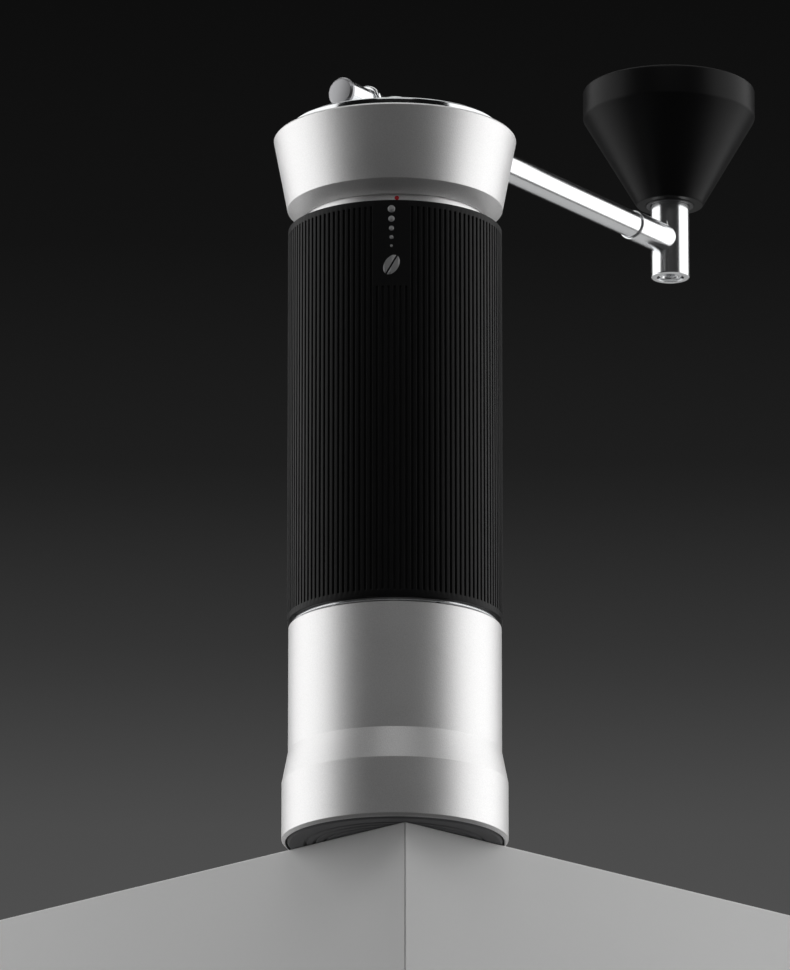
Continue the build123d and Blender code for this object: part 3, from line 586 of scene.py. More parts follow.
# %% Bean and dots
BEAN_HEIGHT = 149.5 * MM
BEAN_HALF_WIDE = 1.9 * MM
BEAN_HALF_TALL = 2.9 * MM
BEAN_SEAM = 0.12
BEAN_LEAN = math.radians(-30)
DOTS = 5
FIRST_DOT_UP = 5.2 * MM
DOT_GAP = 2.1 * MM
marks = bmesh.new()
for side in (-1, 1):
    half = bmesh.new()
    bmesh.ops.create_circle(half, cap_ends=True, segments=48, radius=1)
    bmesh.ops.bisect_plane(
        half,
        geom=half.verts[:] + half.edges[:] + half.faces[:],
        plane_co=(side * BEAN_SEAM, 0, 0),
        plane_no=(-side, 0, 0),
        clear_outer=True,
    )
    bmesh.ops.scale(half, vec=(BEAN_HALF_WIDE, BEAN_HALF_TALL, 1), verts=half.verts)
    bmesh.ops.rotate(half, cent=(0, 0, 0), matrix=Matrix.Rotation(BEAN_LEAN, 3, "Z"), verts=half.verts)
    bmesh.ops.translate(half, vec=(0, BEAN_HEIGHT, 0), verts=half.verts)
    half_mesh = bpy.data.meshes.new("half")
    half.to_mesh(half_mesh)
    half.free()
    marks.from_mesh(half_mesh)
    bpy.data.meshes.remove(half_mesh)
dot_height = BEAN_HEIGHT + FIRST_DOT_UP
for number in range(DOTS):
    size = (0.35 + 0.16 * number) * MM
    spot = Matrix.Translation((0, dot_height, 0))
    bmesh.ops.create_circle(marks, cap_ends=True, segments=32, radius=size, matrix=spot)
    dot_height += DOT_GAP + 0.75 * size
print("flat marks:", len(marks.faces), "faces")

# %% Wrapping the marks
INK = 0.05 * MM
STRIP = 0.25 * MM
for cut in range(-8, 9):
    bmesh.ops.bisect_plane(
        marks,
        geom=marks.verts[:] + marks.edges[:] + marks.faces[:],
        plane_co=(cut * STRIP, 0, 0),
        plane_no=(1, 0, 0),
    )
skin = bmesh.ops.extrude_face_region(marks, geom=marks.faces[:])
raised = [part for part in skin["geom"] if isinstance(part, bmesh.types.BMVert)]
bmesh.ops.translate(marks, vec=(0, 0, INK), verts=raised)
for vert in marks.verts:
    across, up, out = vert.co
    vert.co = around(sleeve_radius + out, PAD_ANGLE + across / sleeve_radius, up)
pad_marks = finished(marks, "pad_marks", "body")
print(f"marks from {BEAN_HEIGHT / MM:.1f} to {dot_height / MM:.1f} mm")

# %% [markdown]
# ## Preload spring
# A short spring sits between the lower bridge and the lower bearing and takes up the play. It is a circle
# of wire that is spun while it climbs. Its foot stays with the body and its top follows the carrier, but
# here it is fixed in place at the height of the CAD spring.

# %% Spring
WIRE = 0.4 * MM
WINDINGS = 3
STEPS_PER_TURN = 64
spring_low, spring_high = low("preload_spring"), high("preload_spring")
coil = girth("preload_spring") - WIRE
climb = spring_high - spring_low - 2 * WIRE
wire = bmesh.new()
bmesh.ops.create_circle(wire, cap_ends=False, segments=16, radius=WIRE)
bmesh.ops.rotate(wire, cent=(0, 0, 0), matrix=Matrix.Rotation(math.pi / 2, 3, "X"), verts=wire.verts)
bmesh.ops.translate(wire, vec=(coil, 0, spring_low + WIRE), verts=wire.verts)
bmesh.ops.spin(
    wire,
    geom=wire.verts[:] + wire.edges[:],
    cent=(0, 0, 0),
    axis=(0, 0, 1),
    dvec=(0, 0, climb / (WINDINGS * STEPS_PER_TURN)),
    angle=WINDINGS * math.tau,
    steps=WINDINGS * STEPS_PER_TURN,
)
open_ends = [edge for edge in wire.edges if edge.is_boundary]
bmesh.ops.holes_fill(wire, edges=open_ends, sides=0)
bmesh.ops.recalc_face_normals(wire, faces=wire.faces)
for face in wire.faces:
    face.smooth = len(face.verts) == 4
spring_mesh = bpy.data.meshes.new("wound_spring")
wire.to_mesh(spring_mesh)
wire.free()
spring = bpy.data.objects.new("wound_spring", spring_mesh)
bpy.context.scene.collection.objects.link(spring)
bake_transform(spring)
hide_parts("preload_spring")
print(f"wound_spring: {len(spring_mesh.polygons)} faces, {climb / MM:.1f} mm of climb")

# %% [markdown]
# ## Adjusting ring and funnel
# The flared ring is blasted like the cup, but its rim is cut bright afterwards. Its wall, ledge and bore
# are one outline, because the ledge is seen when the lid is off. Inside, a black funnel covers the thread
# and leads the beans down past the carrier.

# %% Ring
RUNNING_GAP = 0.08 * MM
RIM_CUT = 0.5 * MM
RIM_CUT_WIDE = 0.35 * MM
MOUTH_GAP = 0.3 * MM
MOUTH_FLARE = 1.2 * MM
FLARE_RADIUS = 28.63 * MM
FLARE_LOW = 173.5 * MM
UNDER_FLARE = 0.6 * MM
FUNNEL_SEAT = 27.45 * MM
FUNNEL_LOW = 185.1 * MM
THREAD = 25.08 * MM
ring_low, rim_top, rim_radius = low("adjusting_ring"), high("adjusting_ring"), girth("adjusting_ring")
mouth = girth("lid") + MOUTH_GAP
lip = high("hopper_funnel")
ledge = lip + 0.3 * MM
adjusting_ring = turned(
    "flared_ring",
    "adjusting_ring",
    [
        (NECK + RUNNING_GAP, ring_low),
        (NECK + UNDER_FLARE, ring_low),
        (FLARE_RADIUS, FLARE_LOW, 0.15 * MM),
        (rim_radius, rim_top - RIM_CUT, 0.04 * MM),
        (rim_radius - RIM_CUT_WIDE, rim_top, 0.1 * MM, BRIGHT),
        (mouth + MOUTH_FLARE, rim_top, 0.2 * MM, BRIGHT),
        (mouth, rim_top - MOUTH_FLARE, 0.2 * MM, BRIGHT),
        (mouth, ledge),
        (FUNNEL_SEAT, ledge),
        (FUNNEL_SEAT, FUNNEL_LOW),
        (THREAD, FUNNEL_LOW),
        (THREAD, NECK_TOP),
        (NECK + RUNNING_GAP, NECK_TOP),
    ],
    turns=180,
    replace=["adjusting_ring"],
)
cut_bright(adjusting_ring, lambda spot: spot.z > rim_top - 0.9 * RIM_CUT)

# %% Funnel
FUNNEL_RADIUS = 27.4 * MM
FUNNEL_LIP = 0.45 * MM
FUNNEL_MOUTH = 20.9 * MM
FUNNEL_THICK = 0.9 * MM
funnel = turned(
    "bean_funnel",
    "adjusting_ring",
    [
        (FUNNEL_RADIUS, FUNNEL_LOW),
        (FUNNEL_RADIUS, lip),
        (FUNNEL_RADIUS - FUNNEL_LIP, lip),
        (FUNNEL_MOUTH, FUNNEL_LOW + FUNNEL_THICK),
        (FUNNEL_MOUTH, FUNNEL_LOW),
    ],
    replace=["hopper_funnel"],
)

# %% [markdown]
# ## Lid
# The lid is dished, with a raised bead round its edge, and it stays still while the hub turns in it. The
# bead's corners take wide bevels of several steps, which is how a rolled edge reads at this size.

# %% Dished lid
BUSH_HOLE = 8.02 * MM
SKIRT = 26.9 * MM
SEAL_SEAT = 27.8 * MM
SEAL_TOP = 192.95 * MM
PLATE = 193.4 * MM
DISH = 194.9 * MM
BEAD = 1.6 * MM
BEAD_SLOPE = 1.1 * MM
lid_low, lid_high, lid_radius = low("lid"), high("lid"), girth("lid")
lid = turned(
    "dished_lid",
    "lid",
    [
        (BUSH_HOLE, PLATE),
        (SKIRT, PLATE),
        (SKIRT, lid_low),
        (SEAL_SEAT, lid_low),
        (SEAL_SEAT, SEAL_TOP),
        (lid_radius, SEAL_TOP),
        (lid_radius, lid_high, 0.6 * MM),
        (lid_radius - BEAD, lid_high, 0.6 * MM),
        (lid_radius - BEAD - BEAD_SLOPE, DISH, 0.6 * MM),
        (BUSH_HOLE, DISH),
    ],
    width=0.12 * MM,
    turns=180,
    replace=["lid"],
)

# %% [markdown]
# ## Cutting and joining
# A hexagonal socket or a cross tube isn't turned, so it can't be in the outline. It is made as a mesh of
# its own, and a Boolean cuts or joins it. The result is applied at once, and its creases are marked sharp,
# so that the smooth shading doesn't smear round the new edges. The arm lies on its side, so bar() turns a
# shape upright and then lays it along x.


# %% Cutters and bars
CREASE = math.radians(20)


def prism(sides, radius, tall):
    """An upright prism that stands on z = 0, as a bmesh."""
    shape = bmesh.new()
    bmesh.ops.create_cone(
        shape,
        cap_ends=True,
        segments=sides,
        radius1=radius,
        radius2=radius,
        depth=tall,
        matrix=Matrix.Translation((0, 0, tall / 2)),
    )
    return shape


def bar(rings):
    """A bar along the arm's axis from (radius, x) points, as a bmesh."""
    shape = spun(rings, 128)
    break_edges(shape, rings, 0.1 * MM)
    bmesh.ops.rotate(shape, cent=(0, 0, 0), matrix=Matrix.Rotation(math.pi / 2, 3, "Y"), verts=shape.verts)
    bmesh.ops.translate(shape, vec=(0, 0, arm_z), verts=shape.verts)
    return shape


def combined(piece, shape, how):
    """Joins a bmesh to a piece, or cuts it out, by a Boolean's operation."""
    other = as_object(shape, "cutter")
    change = piece.modifiers.new("combine", "BOOLEAN")
    change.operation = how
    change.solver = "EXACT"
    change.object = other
    piece.modifiers.move(len(piece.modifiers) - 1, 0)
    bpy.context.view_layer.update()
    result = bpy.data.meshes.new_from_object(piece.evaluated_get(bpy.context.evaluated_depsgraph_get()))
    piece.modifiers.remove(change)
    piece.data = result
    bpy.data.objects.remove(other)
    creased = bmesh.new()
    creased.from_mesh(result)
    for edge in creased.edges:
        edge.smooth = not edge.is_manifold or edge.calc_face_angle() < CREASE
    creased.to_mesh(result)
    creased.free()
    print(f"{piece.name}: {how.lower()} leaves {len(result.polygons)} faces")


# %% [markdown]
# ## Hub
# The hub slips over the spindle's hexagon, and the arm goes through it. Its socket is cut with a six-sided
# prism whose flats match the spindle's, because a round hole would cut into the corners of the hexagon. A
# second cut opens the hole of the set screw that locks the arm.

# %% Turned hub
HUB_RADIUS = 6.5 * MM
HUB_LEAD = 0.5 * MM
CROWN_RADIUS = 3.6 * MM
FLANGE_RADIUS = 8.5 * MM
FLANGE_LOW = 195.7 * MM
FLANGE_HIGH = 196.25 * MM
POCKET_GAP = 0.02 * MM
hub_low, hub_high = low("crank_hub"), high("crank_hub")
pocket = girth("hub_magnet") + POCKET_GAP
pocket_low, pocket_high = low("hub_magnet"), high("hub_magnet") + POCKET_GAP
hub = turned(
    "hub",
    "crank",
    [
        (0, pocket_high),
        (pocket, pocket_high),
        (pocket, hub_low, 0),
        (HUB_RADIUS - HUB_LEAD, hub_low),
        (HUB_RADIUS, hub_low + HUB_LEAD),
        (HUB_RADIUS, FLANGE_LOW),
        (FLANGE_RADIUS, FLANGE_LOW, 0.15 * MM),
        (FLANGE_RADIUS, FLANGE_HIGH, 0.2 * MM),
        (HUB_RADIUS, FLANGE_HIGH, 0.1 * MM),
        (HUB_RADIUS, hub_high - (HUB_RADIUS - CROWN_RADIUS), 0.8 * MM),
        (CROWN_RADIUS, hub_high, 0.8 * MM),
        (0, hub_high),
    ],
    turns=96,
    replace=["crank_hub"],
)

# %% Socket and set screw hole
SOCKET_FLAT = 3.58 * MM
BELOW = 1 * MM
HOLE_RADIUS = 1.51 * MM
HOLE_START = 3 * MM
HOLE_LONG = 5 * MM
sixth = math.pi / 6
socket = prism(6, SOCKET_FLAT / math.cos(sixth), pocket_low - hub_low + BELOW)
bmesh.ops.rotate(socket, cent=(0, 0, 0), matrix=Matrix.Rotation(sixth, 3, "Z"), verts=socket.verts)
bmesh.ops.translate(socket, vec=(0, 0, hub_low - BELOW), verts=socket.verts)
combined(hub, socket, "DIFFERENCE")
hole = prism(48, HOLE_RADIUS, HOLE_LONG)
bmesh.ops.rotate(hole, cent=(0, 0, 0), matrix=Matrix.Rotation(-math.pi / 2, 3, "X"), verts=hole.verts)
bmesh.ops.translate(hole, vec=(0, HOLE_START, arm_z), verts=hole.verts)
combined(hub, hole, "DIFFERENCE")

# %% [markdown]
# ## Arm, end cap and collar
# The arm is a polished bar. A plug with a chamfered face closes its short end, and a collar sits beside the
# hub. They are separate pieces, because the fine gaps between them are what shows that they were fitted
# together.

# %% Arm
ROD = 3.66 * MM
arm_low, arm_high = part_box("crank_arm")
arm_rings = [
    (0, arm_low.x),
    (ROD, arm_low.x, 0.2 * MM),
    (ROD, arm_high.x, 0.3 * MM),
    (0, arm_high.x),
]
arm = finished(bar(arm_rings), "polished_arm", "crank", "crank_arm")
print(f"arm: {(arm_high.x - arm_low.x) / MM:.1f} mm long")

# %% End cap
CAP_RADIUS = 3.95 * MM
CAP_CUT_LONG = 0.45 * MM
CAP_CUT_WIDE = 0.55 * MM
CAP_GAP = 0.12 * MM
PLUG_RADIUS = ROD - 0.3 * MM
PLUG_LONG = 1 * MM
cap_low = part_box("arm_end_cap")[0].x
cap_rings = [
    (0, cap_low),
    (CAP_RADIUS - CAP_CUT_WIDE, cap_low, 0.08 * MM, BRIGHT),
    (CAP_RADIUS, cap_low + CAP_CUT_LONG, 0.08 * MM, BRIGHT),
    (CAP_RADIUS, arm_low.x - CAP_GAP, 0.12 * MM),
    (PLUG_RADIUS, arm_low.x - CAP_GAP, 0.05 * MM),
    (PLUG_RADIUS, arm_low.x + PLUG_LONG),
    (0, arm_low.x + PLUG_LONG),
]
cap = finished(bar(cap_rings), "end_plug", "crank", "arm_end_cap")


def on_cap_chamfer(spot):
    """True for a point on the slope round the cap's face."""
    reach = math.hypot(spot.y, spot.z - arm_z)
    return spot.x < cap_low + 0.4 * MM and reach > CAP_RADIUS - 0.5 * MM


cut_bright(cap, on_cap_chamfer)

# %% Collar
COLLAR_BORE = ROD + 0.01 * MM
collar_low, collar_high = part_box("arm_collar")
collar_radius = (collar_high.z - collar_low.z) / 2
collar_rings = [
    (COLLAR_BORE, collar_low.x, 0.15 * MM),
    (collar_radius, collar_low.x, 0.4 * MM),
    (collar_radius, collar_high.x, 0.4 * MM),
    (COLLAR_BORE, collar_high.x, 0.15 * MM),
]
collar = finished(bar(collar_rings), "collar", "crank", "arm_collar")
print(f"collar: {2 * collar_radius / MM:.1f} mm across")

# %% [markdown]
# ## Knob post
# The post is a turned upright with a cross tube brazed to it. The bar is pushed into the tube, so a fine
# step shows at the tube's mouth. Both are made on the lathe and then joined by a Boolean, because two round
# bars that only overlap would show no seam. Two extra rings on the post, above and below the tube, keep the
# joint's long thin faces short.

# %% Post
POST = 5.4 * MM
POST_BORE = 2.3 * MM
HEAD_BORE = 3.7 * MM
HEAD_DEPTH = 2.6 * MM
JOINT_RING = 5.2 * MM
post_low, post_high = low("knob_post"), high("knob_post")
post_place = (post_x, 0.0)
upright = turned(
    "post",
    "crank",
    [
        (POST_BORE, post_high),
        (POST_BORE, post_low + HEAD_DEPTH),
        (HEAD_BORE, post_low + HEAD_DEPTH),
        (HEAD_BORE, post_low, 0.12 * MM),
        (POST, post_low, 0.35 * MM),
        (POST, arm_z - JOINT_RING, 0),
        (POST, arm_z + JOINT_RING, 0),
        (POST, post_high, 0.5 * MM),
    ],
    turns=128,
    centre=post_place,
    replace=["knob_post"],
)

# %% Cross tube
TUBE_RADIUS = 4.15 * MM
TUBE_BORE = ROD + 0.06 * MM
STEP_DEPTH = 2.5 * MM
TUBE_RING = 6.5 * MM
TUBE_END = 3.2 * MM
tube_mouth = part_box("knob_post")[0].x
cross_tube = bar(
    [
        (0, tube_mouth + STEP_DEPTH),
        (TUBE_BORE, tube_mouth + STEP_DEPTH),
        (TUBE_BORE, tube_mouth, 0.12 * MM),
        (TUBE_RADIUS, tube_mouth, 0.2 * MM),
        (TUBE_RADIUS, post_x - TUBE_RING, 0),
        (TUBE_RADIUS, post_x - TUBE_END),
        (0, post_x - TUBE_END),
    ]
)
combined(upright, cross_tube, "UNION")

# %% Axle screw
HEAD_RADIUS = 3.35 * MM
HEAD_TALL = 1.9 * MM
HEAD_CHAMFER = 0.45 * MM
HEAD_FACE = 2.95 * MM
DISH_RADIUS = 2.45 * MM
DISH_DEPTH = 0.5 * MM
SHANK = 2 * MM
KEY_ACROSS = 2.5 * MM
KEY_TALL = 3 * MM
screw_low, screw_high = low("axle_screw"), high("axle_screw")
screw = turned(
    "cap_screw",
    "knob",
    [
        (0, screw_low + DISH_DEPTH),
        (DISH_RADIUS - 0.25 * MM, screw_low + DISH_DEPTH, 0.06 * MM),
        (DISH_RADIUS, screw_low, 0.06 * MM),
        (HEAD_FACE, screw_low, 0.1 * MM),
        (HEAD_RADIUS, screw_low + HEAD_CHAMFER, 0.1 * MM),
        (HEAD_RADIUS, screw_low + HEAD_TALL),
        (SHANK, screw_low + HEAD_TALL),
        (SHANK, screw_high),
        (0, screw_high),
    ],
    width=0.06 * MM,
    turns=96,
    centre=post_place,
    replace=["axle_screw"],
)
key = prism(6, KEY_ACROSS / math.sqrt(3), KEY_TALL)
bmesh.ops.translate(key, vec=(*post_place, screw_low - KEY_TALL / 2), verts=key.verts)
combined(screw, key, "DIFFERENCE")

# %% [markdown]
# ## Knob
# The knob is an upside-down cone with a straight band at the top, moulded in black plastic. Its edges are
# soft, its crown is slightly hollow for the palm, and a plain bush shows round the post at its foot. It is
# turned like the metal pieces, only with wider rounds, as a mould gives.

# %% Cone
KNOB_BAND = 236.0 * MM
KNOB_FOOT = 9.25 * MM
KNOB_BORE_TALL = 26 * MM
BUSH_FIT = 0.03 * MM
CROWN_EDGE = 3.6 * MM
CROWN_SLOPE = 1.6 * MM
HOLLOW = 0.55 * MM
HOLLOW_MIDDLE = 0.7 * MM
knob_low, knob_high, knob_radius = low("knob"), high("knob"), girth("knob")
bush_radius = girth("lower_knob_bush")
knob_bore = bush_radius + BUSH_FIT
knob = turned(
    "cone_knob",
    "knob",
    [
        (0, knob_low + KNOB_BORE_TALL),
        (knob_bore, knob_low + KNOB_BORE_TALL),
        (knob_bore, knob_low, 0.15 * MM),
        (KNOB_FOOT, knob_low, 0.3 * MM),
        (knob_radius, KNOB_BAND, 0.35 * MM),
        (knob_radius, knob_high, 0.8 * MM),
        (knob_radius - CROWN_EDGE, knob_high, 1.5 * MM),
        (knob_radius - CROWN_EDGE - CROWN_SLOPE, knob_high - HOLLOW, 1.0 * MM),
        (0, knob_high - HOLLOW_MIDDLE),
    ],
    turns=180,
    centre=post_place,
    replace=["knob"],
)

# %% Foot bush
bush_low, bush_high = low("lower_knob_bush"), high("lower_knob_bush")
bush = turned(
    "foot_bush",
    "knob",
    [
        (POST + RUNNING_GAP, bush_low, 0.15 * MM),
        (bush_radius, bush_low, 0.15 * MM),
        (bush_radius, bush_high),
        (POST + RUNNING_GAP, bush_high),
    ],
    turns=96,
    centre=post_place,
    replace=["lower_knob_bush"],
)

# %% [markdown]
# ## Shader tools
# A finish is a Principled shader with a few patterns on it. The small class below carries a value through
# the nodes, so that patterns are written as sums: `0.3 + 0.1 * grain`. Every pattern reads Object
# coordinates, which are metres on the real piece, so a scale of 1 / 0.3 mm really gives 0.3 mm grain.


# %% Values
class Value:
    """A socket in a material; + - * / on it add Math nodes."""

    def __init__(self, finish, socket):
        self.finish = finish
        self.socket = socket

    def math(self, operation, first, second=0.0):
        return self.finish.node("ShaderNodeMath", {"operation": operation}, {0: first, 1: second})

    def __add__(self, other):
        return self.math("ADD", self, other)

    def __radd__(self, other):
        return self.math("ADD", other, self)

    def __sub__(self, other):
        return self.math("SUBTRACT", self, other)

    def __rsub__(self, other):
        return self.math("SUBTRACT", other, self)

    def __mul__(self, other):
        return self.math("MULTIPLY", self, other)

    def __rmul__(self, other):
        return self.math("MULTIPLY", other, self)

    def __pow__(self, other):
        return self.math("POWER", self, other)

    def clamp(self):
        return self.finish.node("ShaderNodeClamp", {}, {"Value": self})


# %% Finishes
class Finish:
    """A material under construction."""

    def __init__(self, name, metallic=0.0, **sockets):
        self.material = bpy.data.materials.new(name)
        self.material.use_nodes = True
        self.tree = self.material.node_tree
        self.shader = self.tree.nodes["Principled BSDF"]
        self.shader.inputs["Metallic"].default_value = metallic
        for socket, constant in sockets.items():
            self.shader.inputs[socket.replace("_", " ")].default_value = constant

    def node(self, kind, settings, inputs, output=0):
        """Adds a node: its settings first, then the values or links of its sockets."""
        made = self.tree.nodes.new(kind)
        for setting, choice in settings.items():
            setattr(made, setting, choice)
        for socket, value in inputs.items():
            if isinstance(value, Value):
                self.tree.links.new(value.socket, made.inputs[socket])
            else:
                made.inputs[socket].default_value = value
        return Value(self, made.outputs[output])

    def feed(self, socket, value):
        """Links a value to the shader."""
        self.tree.links.new(value.socket, self.shader.inputs[socket])

    def place(self, centre=(0, 0, 0), stretch=(1, 1, 1)):
        """Object coordinates, moved to a centre and stretched."""
        spot = self.node("ShaderNodeTexCoord", {}, {}, "Object")
        shift = tuple(-c * s for c, s in zip(centre, stretch))
        return self.node("ShaderNodeMapping", {}, {"Vector": spot, "Location": shift, "Scale": stretch})

    def noise(self, size, where, detail):
        """Noise with features of a size in metres."""
        sockets = {"Vector": where, "Scale": 1 / size, "Detail": detail}
        return self.node("ShaderNodeTexNoise", {}, sockets)

    def colours(self, factor, first, second):
        """Blend of two colours by a value."""
        sockets = {0: factor, 6: (*first, 1), 7: (*second, 1)}
        return self.node("ShaderNodeMix", {"data_type": "RGBA"}, sockets, 2)

    def relief(self, height, depth, strength):
        """Feeds a height pattern of a depth in metres to the shader's normal."""
        sockets = {"Height": height, "Distance": depth, "Strength": strength}
        self.feed("Normal", self.node("ShaderNodeBump", {}, sockets))


# %% [markdown]
# ## Blasted aluminium
# Glass beads leave the metal covered in tiny dents, about a third of a millimetre across, and the clear
# anodised layer keeps it a soft silver. The dents are a bump, and they darken the colour a little too,
# because a dent's shade is finer than a bump can give at this distance. Slower noise varies the sheen.


# %% Blasted metal
def darker(colour, part):
    """A colour with a part of its brightness."""
    return tuple(channel * part for channel in colour)


def blasted(name, colour, roughness):
    """Bead-blasted, anodised metal."""
    finish = Finish(name, metallic=1.0)
    where = finish.place()
    dents = finish.noise(0.3 * MM, where, detail=2.0)
    cloud = finish.noise(14 * MM, where, detail=3.0)
    shade = (cloud * 0.4 + dents * 1.6 - 0.4).clamp()
    finish.feed("Base Color", finish.colours(shade, darker(colour, 0.84), colour))
    finish.feed("Roughness", (dents * 0.08 + cloud * 0.05 + (roughness - 0.06)).clamp())
    finish.relief(dents, 0.03 * MM, 0.8)
    return finish.material


aluminium = blasted("blasted_aluminium", (0.80, 0.795, 0.795), 0.49)
print("made", aluminium.name)

# %% [markdown]
# ## Polished and turned metal
# A polished piece still has faint lines round the axis that it was turned about, and finger smudges. On a
# turned face the tool leaves fine rings instead. Both patterns depend on the distance from an axis, so they
# read Object coordinates, moved to that axis, and no picture is needed.


# %% Polished and turned metal
def polished(name, colour, roughness, lay="Z", centre=(0, 0, 0)):
    """Polished metal with faint lines left by the last cut, round the axis that it was turned about."""
    finish = Finish(name, metallic=1.0)
    stretch = {"Z": (1, 1, 30), "X": (30, 1, 1)}[lay]
    lines = finish.noise(6 * MM, finish.place(centre, stretch), detail=3.0)
    smudge = finish.noise(9 * MM, finish.place(centre), detail=4.0)
    finish.feed("Base Color", finish.colours(smudge, darker(colour, 0.95), colour))
    finish.feed("Roughness", (lines * 0.04 + smudge * 0.06 + (roughness - 0.05)).clamp())
    finish.relief(lines, 0.002 * MM, 0.4)
    return finish.material


def turned_face(name, colour, roughness, pitch=0.25 * MM, centre=(0, 0, 0), lay="XYZ"):
    """Turned metal: fine rings on flat faces and walls, round the last axis of the lay."""
    finish = Finish(name, metallic=1.0)
    where = finish.place(centre)
    across, over, along = (
        finish.node("ShaderNodeSeparateXYZ", {}, {0: where}, "XYZ".index(letter)) for letter in lay
    )
    reach = (across * across + over * over) ** 0.5
    sockets = {"W": reach + along, "Scale": 1 / pitch, "Detail": 2.0}
    rings = finish.node("ShaderNodeTexNoise", {"noise_dimensions": "1D"}, sockets)
    cloud = finish.noise(8 * MM, where, detail=3.0)
    finish.feed("Base Color", finish.colours(rings * 0.6 + cloud * 0.4, darker(colour, 0.85), colour))
    finish.feed("Roughness", (rings * 0.1 + cloud * 0.06 + (roughness - 0.08)).clamp())
    finish.relief(rings, 0.004 * MM, 0.5)
    return finish.material


# %% The metals
CLEAR_STEEL = (0.80, 0.81, 0.82)
ARM_AXIS = (0, 0, arm_z)
bright_cut = turned_face("bright_cut", (0.86, 0.87, 0.88), 0.16, 0.1 * MM)
polished_steel = polished("polished_steel", CLEAR_STEEL, 0.2)
polished_bar = polished("polished_bar", CLEAR_STEEL, 0.2, "X", ARM_AXIS)
mirror_lid = turned_face("mirror_lid", (0.72, 0.73, 0.74), 0.13, 0.3 * MM)
turned_steel = turned_face("turned_steel", (0.62, 0.63, 0.64), 0.24)
burr_steel = turned_face("burr_steel", (0.50, 0.50, 0.51), 0.3, 0.12 * MM)
spring_steel = turned_face("spring_steel", (0.42, 0.42, 0.43), 0.32, 0.2 * MM)
brass = turned_face("turned_brass", (0.72, 0.55, 0.26), 0.25)
cap_face = turned_face("cap_face", (0.36, 0.36, 0.37), 0.36, 0.2 * MM, ARM_AXIS, "YZX")
nickel = polished("nickel_plate", (0.66, 0.66, 0.64), 0.14)
print("finishes so far:", len(bpy.data.materials))

# %% [markdown]
# ## Plastics, rubber and enamel
# Moulded pieces take their texture from the steel mould. The grip was spark-eroded to a fine matt grain,
# the knob is a little smoother. Dust and handling make the highest spots slightly paler.


# %% Moulded finishes
def moulded(
    name, colour, roughness, grain_size=0.12 * MM, depth=0.01 * MM, pale=1.35, specular=0.5, ior=1.5
):
    """Moulded plastic or rubber with a fine grain and faint handling marks."""
    finish = Finish(name, Specular_IOR_Level=specular, IOR=ior)
    where = finish.place()
    grain = finish.noise(grain_size, where, detail=2.0)
    cloud = finish.noise(11 * MM, where, detail=4.0)
    light = tuple(min(1.0, c * pale) for c in colour)
    finish.feed("Base Color", finish.colours(grain * 0.5 + cloud * 0.5, colour, light))
    finish.feed("Roughness", (grain * 0.08 + cloud * 0.1 + (roughness - 0.09)).clamp())
    finish.relief(grain, depth, 0.6)
    return finish.material


black_grip = moulded("matt_grip", (0.005, 0.005, 0.0053), 0.46, specular=0.4, ior=1.27)
black_knob = moulded(
    "satin_knob", (0.0035, 0.0035, 0.0037), 0.38, 0.09 * MM, 0.006 * MM, specular=0.3, ior=1.28
)
black_plastic = moulded("black_plastic", (0.02, 0.02, 0.021), 0.42)
black_rubber = moulded("black_rubber", (0.03, 0.03, 0.03), 0.6)
grey_rubber = moulded("foot_rubber", (0.10, 0.10, 0.104), 0.62, 0.2 * MM, 0.02 * MM, 1.25)
bush_plastic = moulded("bush_plastic", (0.035, 0.035, 0.037), 0.42)
silicone = moulded("seal_silicone", (0.5, 0.5, 0.5), 0.45, pale=1.1)
red_enamel = moulded("red_enamel", (0.62, 0.03, 0.04), 0.2, 0.3 * MM, 0.002 * MM, 1.15)
ink = moulded("grey_ink", (0.30, 0.30, 0.305), 0.5, 0.08 * MM, 0.004 * MM, 1.2)
print("finishes so far:", len(bpy.data.materials))

# %% [markdown]
# ## Who wears what
# The pieces made here get their finishes first. The CAD nodes inside keep their own meshes and get the
# finish of their slot in the record.


# %% Dress the pieces
def dress(finish, *pieces):
    """Gives pieces one finish, with the bright cut as their second."""
    for piece in pieces:
        piece.data.materials.clear()
        piece.data.materials.append(finish)
        piece.data.materials.append(bright_cut)


dress(aluminium, cup, tube, adjusting_ring)
dress(turned_steel, end_ring)
dress(polished_steel, hub, upright, screw)
dress(mirror_lid, lid)
dress(polished_bar, arm, collar)
dress(cap_face, cap)
dress(black_grip, grip)
dress(black_knob, knob)
dress(black_plastic, funnel)
dress(grey_rubber, foot)
dress(bush_plastic, bush)
dress(red_enamel, index_dot)
dress(ink, pad_marks)
dress(nickel, cup_magnets)
dress(spring_steel, spring)

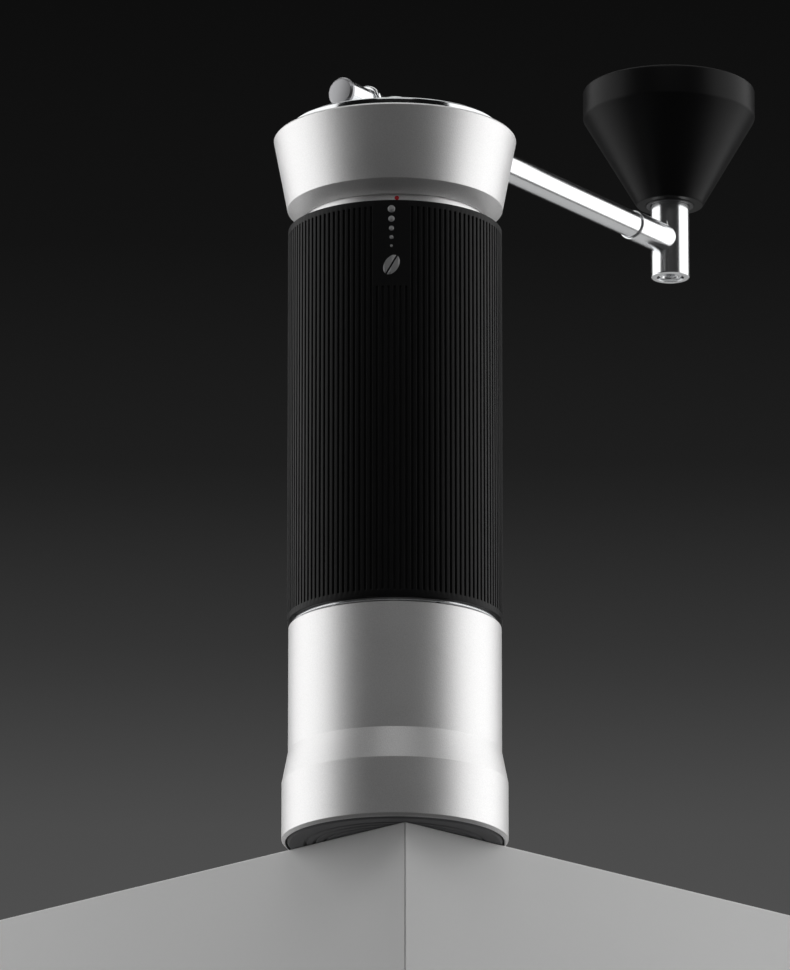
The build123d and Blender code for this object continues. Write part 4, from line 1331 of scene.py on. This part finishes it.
# %% Dress the CAD nodes
BY_SLOT = {
    "bead_blasted_aluminium": aluminium,
    "polished_steel": polished_steel,
    "turned_steel": turned_steel,
    "burr_steel": burr_steel,
    "black_grip": black_grip,
    "black_plastic": black_plastic,
    "black_rubber": black_rubber,
    "grey_rubber": grey_rubber,
    "clear_silicone": silicone,
    "red_enamel": red_enamel,
    "nickel_magnet": nickel,
    "brass": brass,
    "spring_steel": spring_steel,
    "bush_plastic": bush_plastic,
}
for part in frame["record"]["subparts"]:
    node = frame["nodes"][part["node"]]
    node.data.materials.clear()
    node.data.materials.append(BY_SLOT[part["material_slot"]])

# %% [markdown]
# ## The plinth
# The grinder stands on the corner of a pale block. Its corner points at the camera, a little to one side.

# %% Plinth
PLINTH_SIDE = 0.9
PLINTH_TALL = 0.5
PLINTH_EDGE = 0.4 * MM
CORNER_OUT = 24.5 * MM
CORNER_ASIDE = 2.6 * MM
block = bmesh.new()
bmesh.ops.create_cube(block, size=1)
bmesh.ops.scale(block, vec=(PLINTH_SIDE, PLINTH_SIDE, PLINTH_TALL), verts=block.verts)
bmesh.ops.bevel(
    block, geom=block.edges[:], offset=PLINTH_EDGE, affect="EDGES", segments=3, profile=0.5, material=-1
)
for face in block.faces:
    face.smooth = True
plinth_mesh = bpy.data.meshes.new("plinth")
block.to_mesh(plinth_mesh)
block.free()
plinth = bpy.data.objects.new("plinth", plinth_mesh)
bpy.context.scene.collection.objects.link(plinth)
plinth.modifiers.new("even_normals", "WEIGHTED_NORMAL")
plinth.rotation_euler = (0, 0, VIEW_ANGLE + math.pi / 4)
back = CORNER_OUT - PLINTH_SIDE * math.sqrt(0.5)
aside = around(CORNER_ASIDE, VIEW_ANGLE + math.pi / 2, 0)
plinth.location = around(back, VIEW_ANGLE, -PLINTH_TALL / 2) + aside
print("plinth corner", CORNER_OUT / MM, "mm in front of the axis")

# %% Plaster
plaster = Finish("plaster", Specular_IOR_Level=0.3)
spot = plaster.place()
speck = plaster.noise(0.8 * MM, spot, detail=4.0)
wash = plaster.noise(60 * MM, spot, detail=4.0)
pale = plaster.colours(speck * 0.3 + wash * 0.7, (0.76, 0.76, 0.76), (0.82, 0.82, 0.815))
plaster.feed("Base Color", pale)
plaster.feed("Roughness", (speck * 0.1 + 0.7).clamp())
plaster.relief(speck, 0.03 * MM, 0.5)
plinth.data.materials.append(plaster.material)
print("plinth is", plaster.material.name)
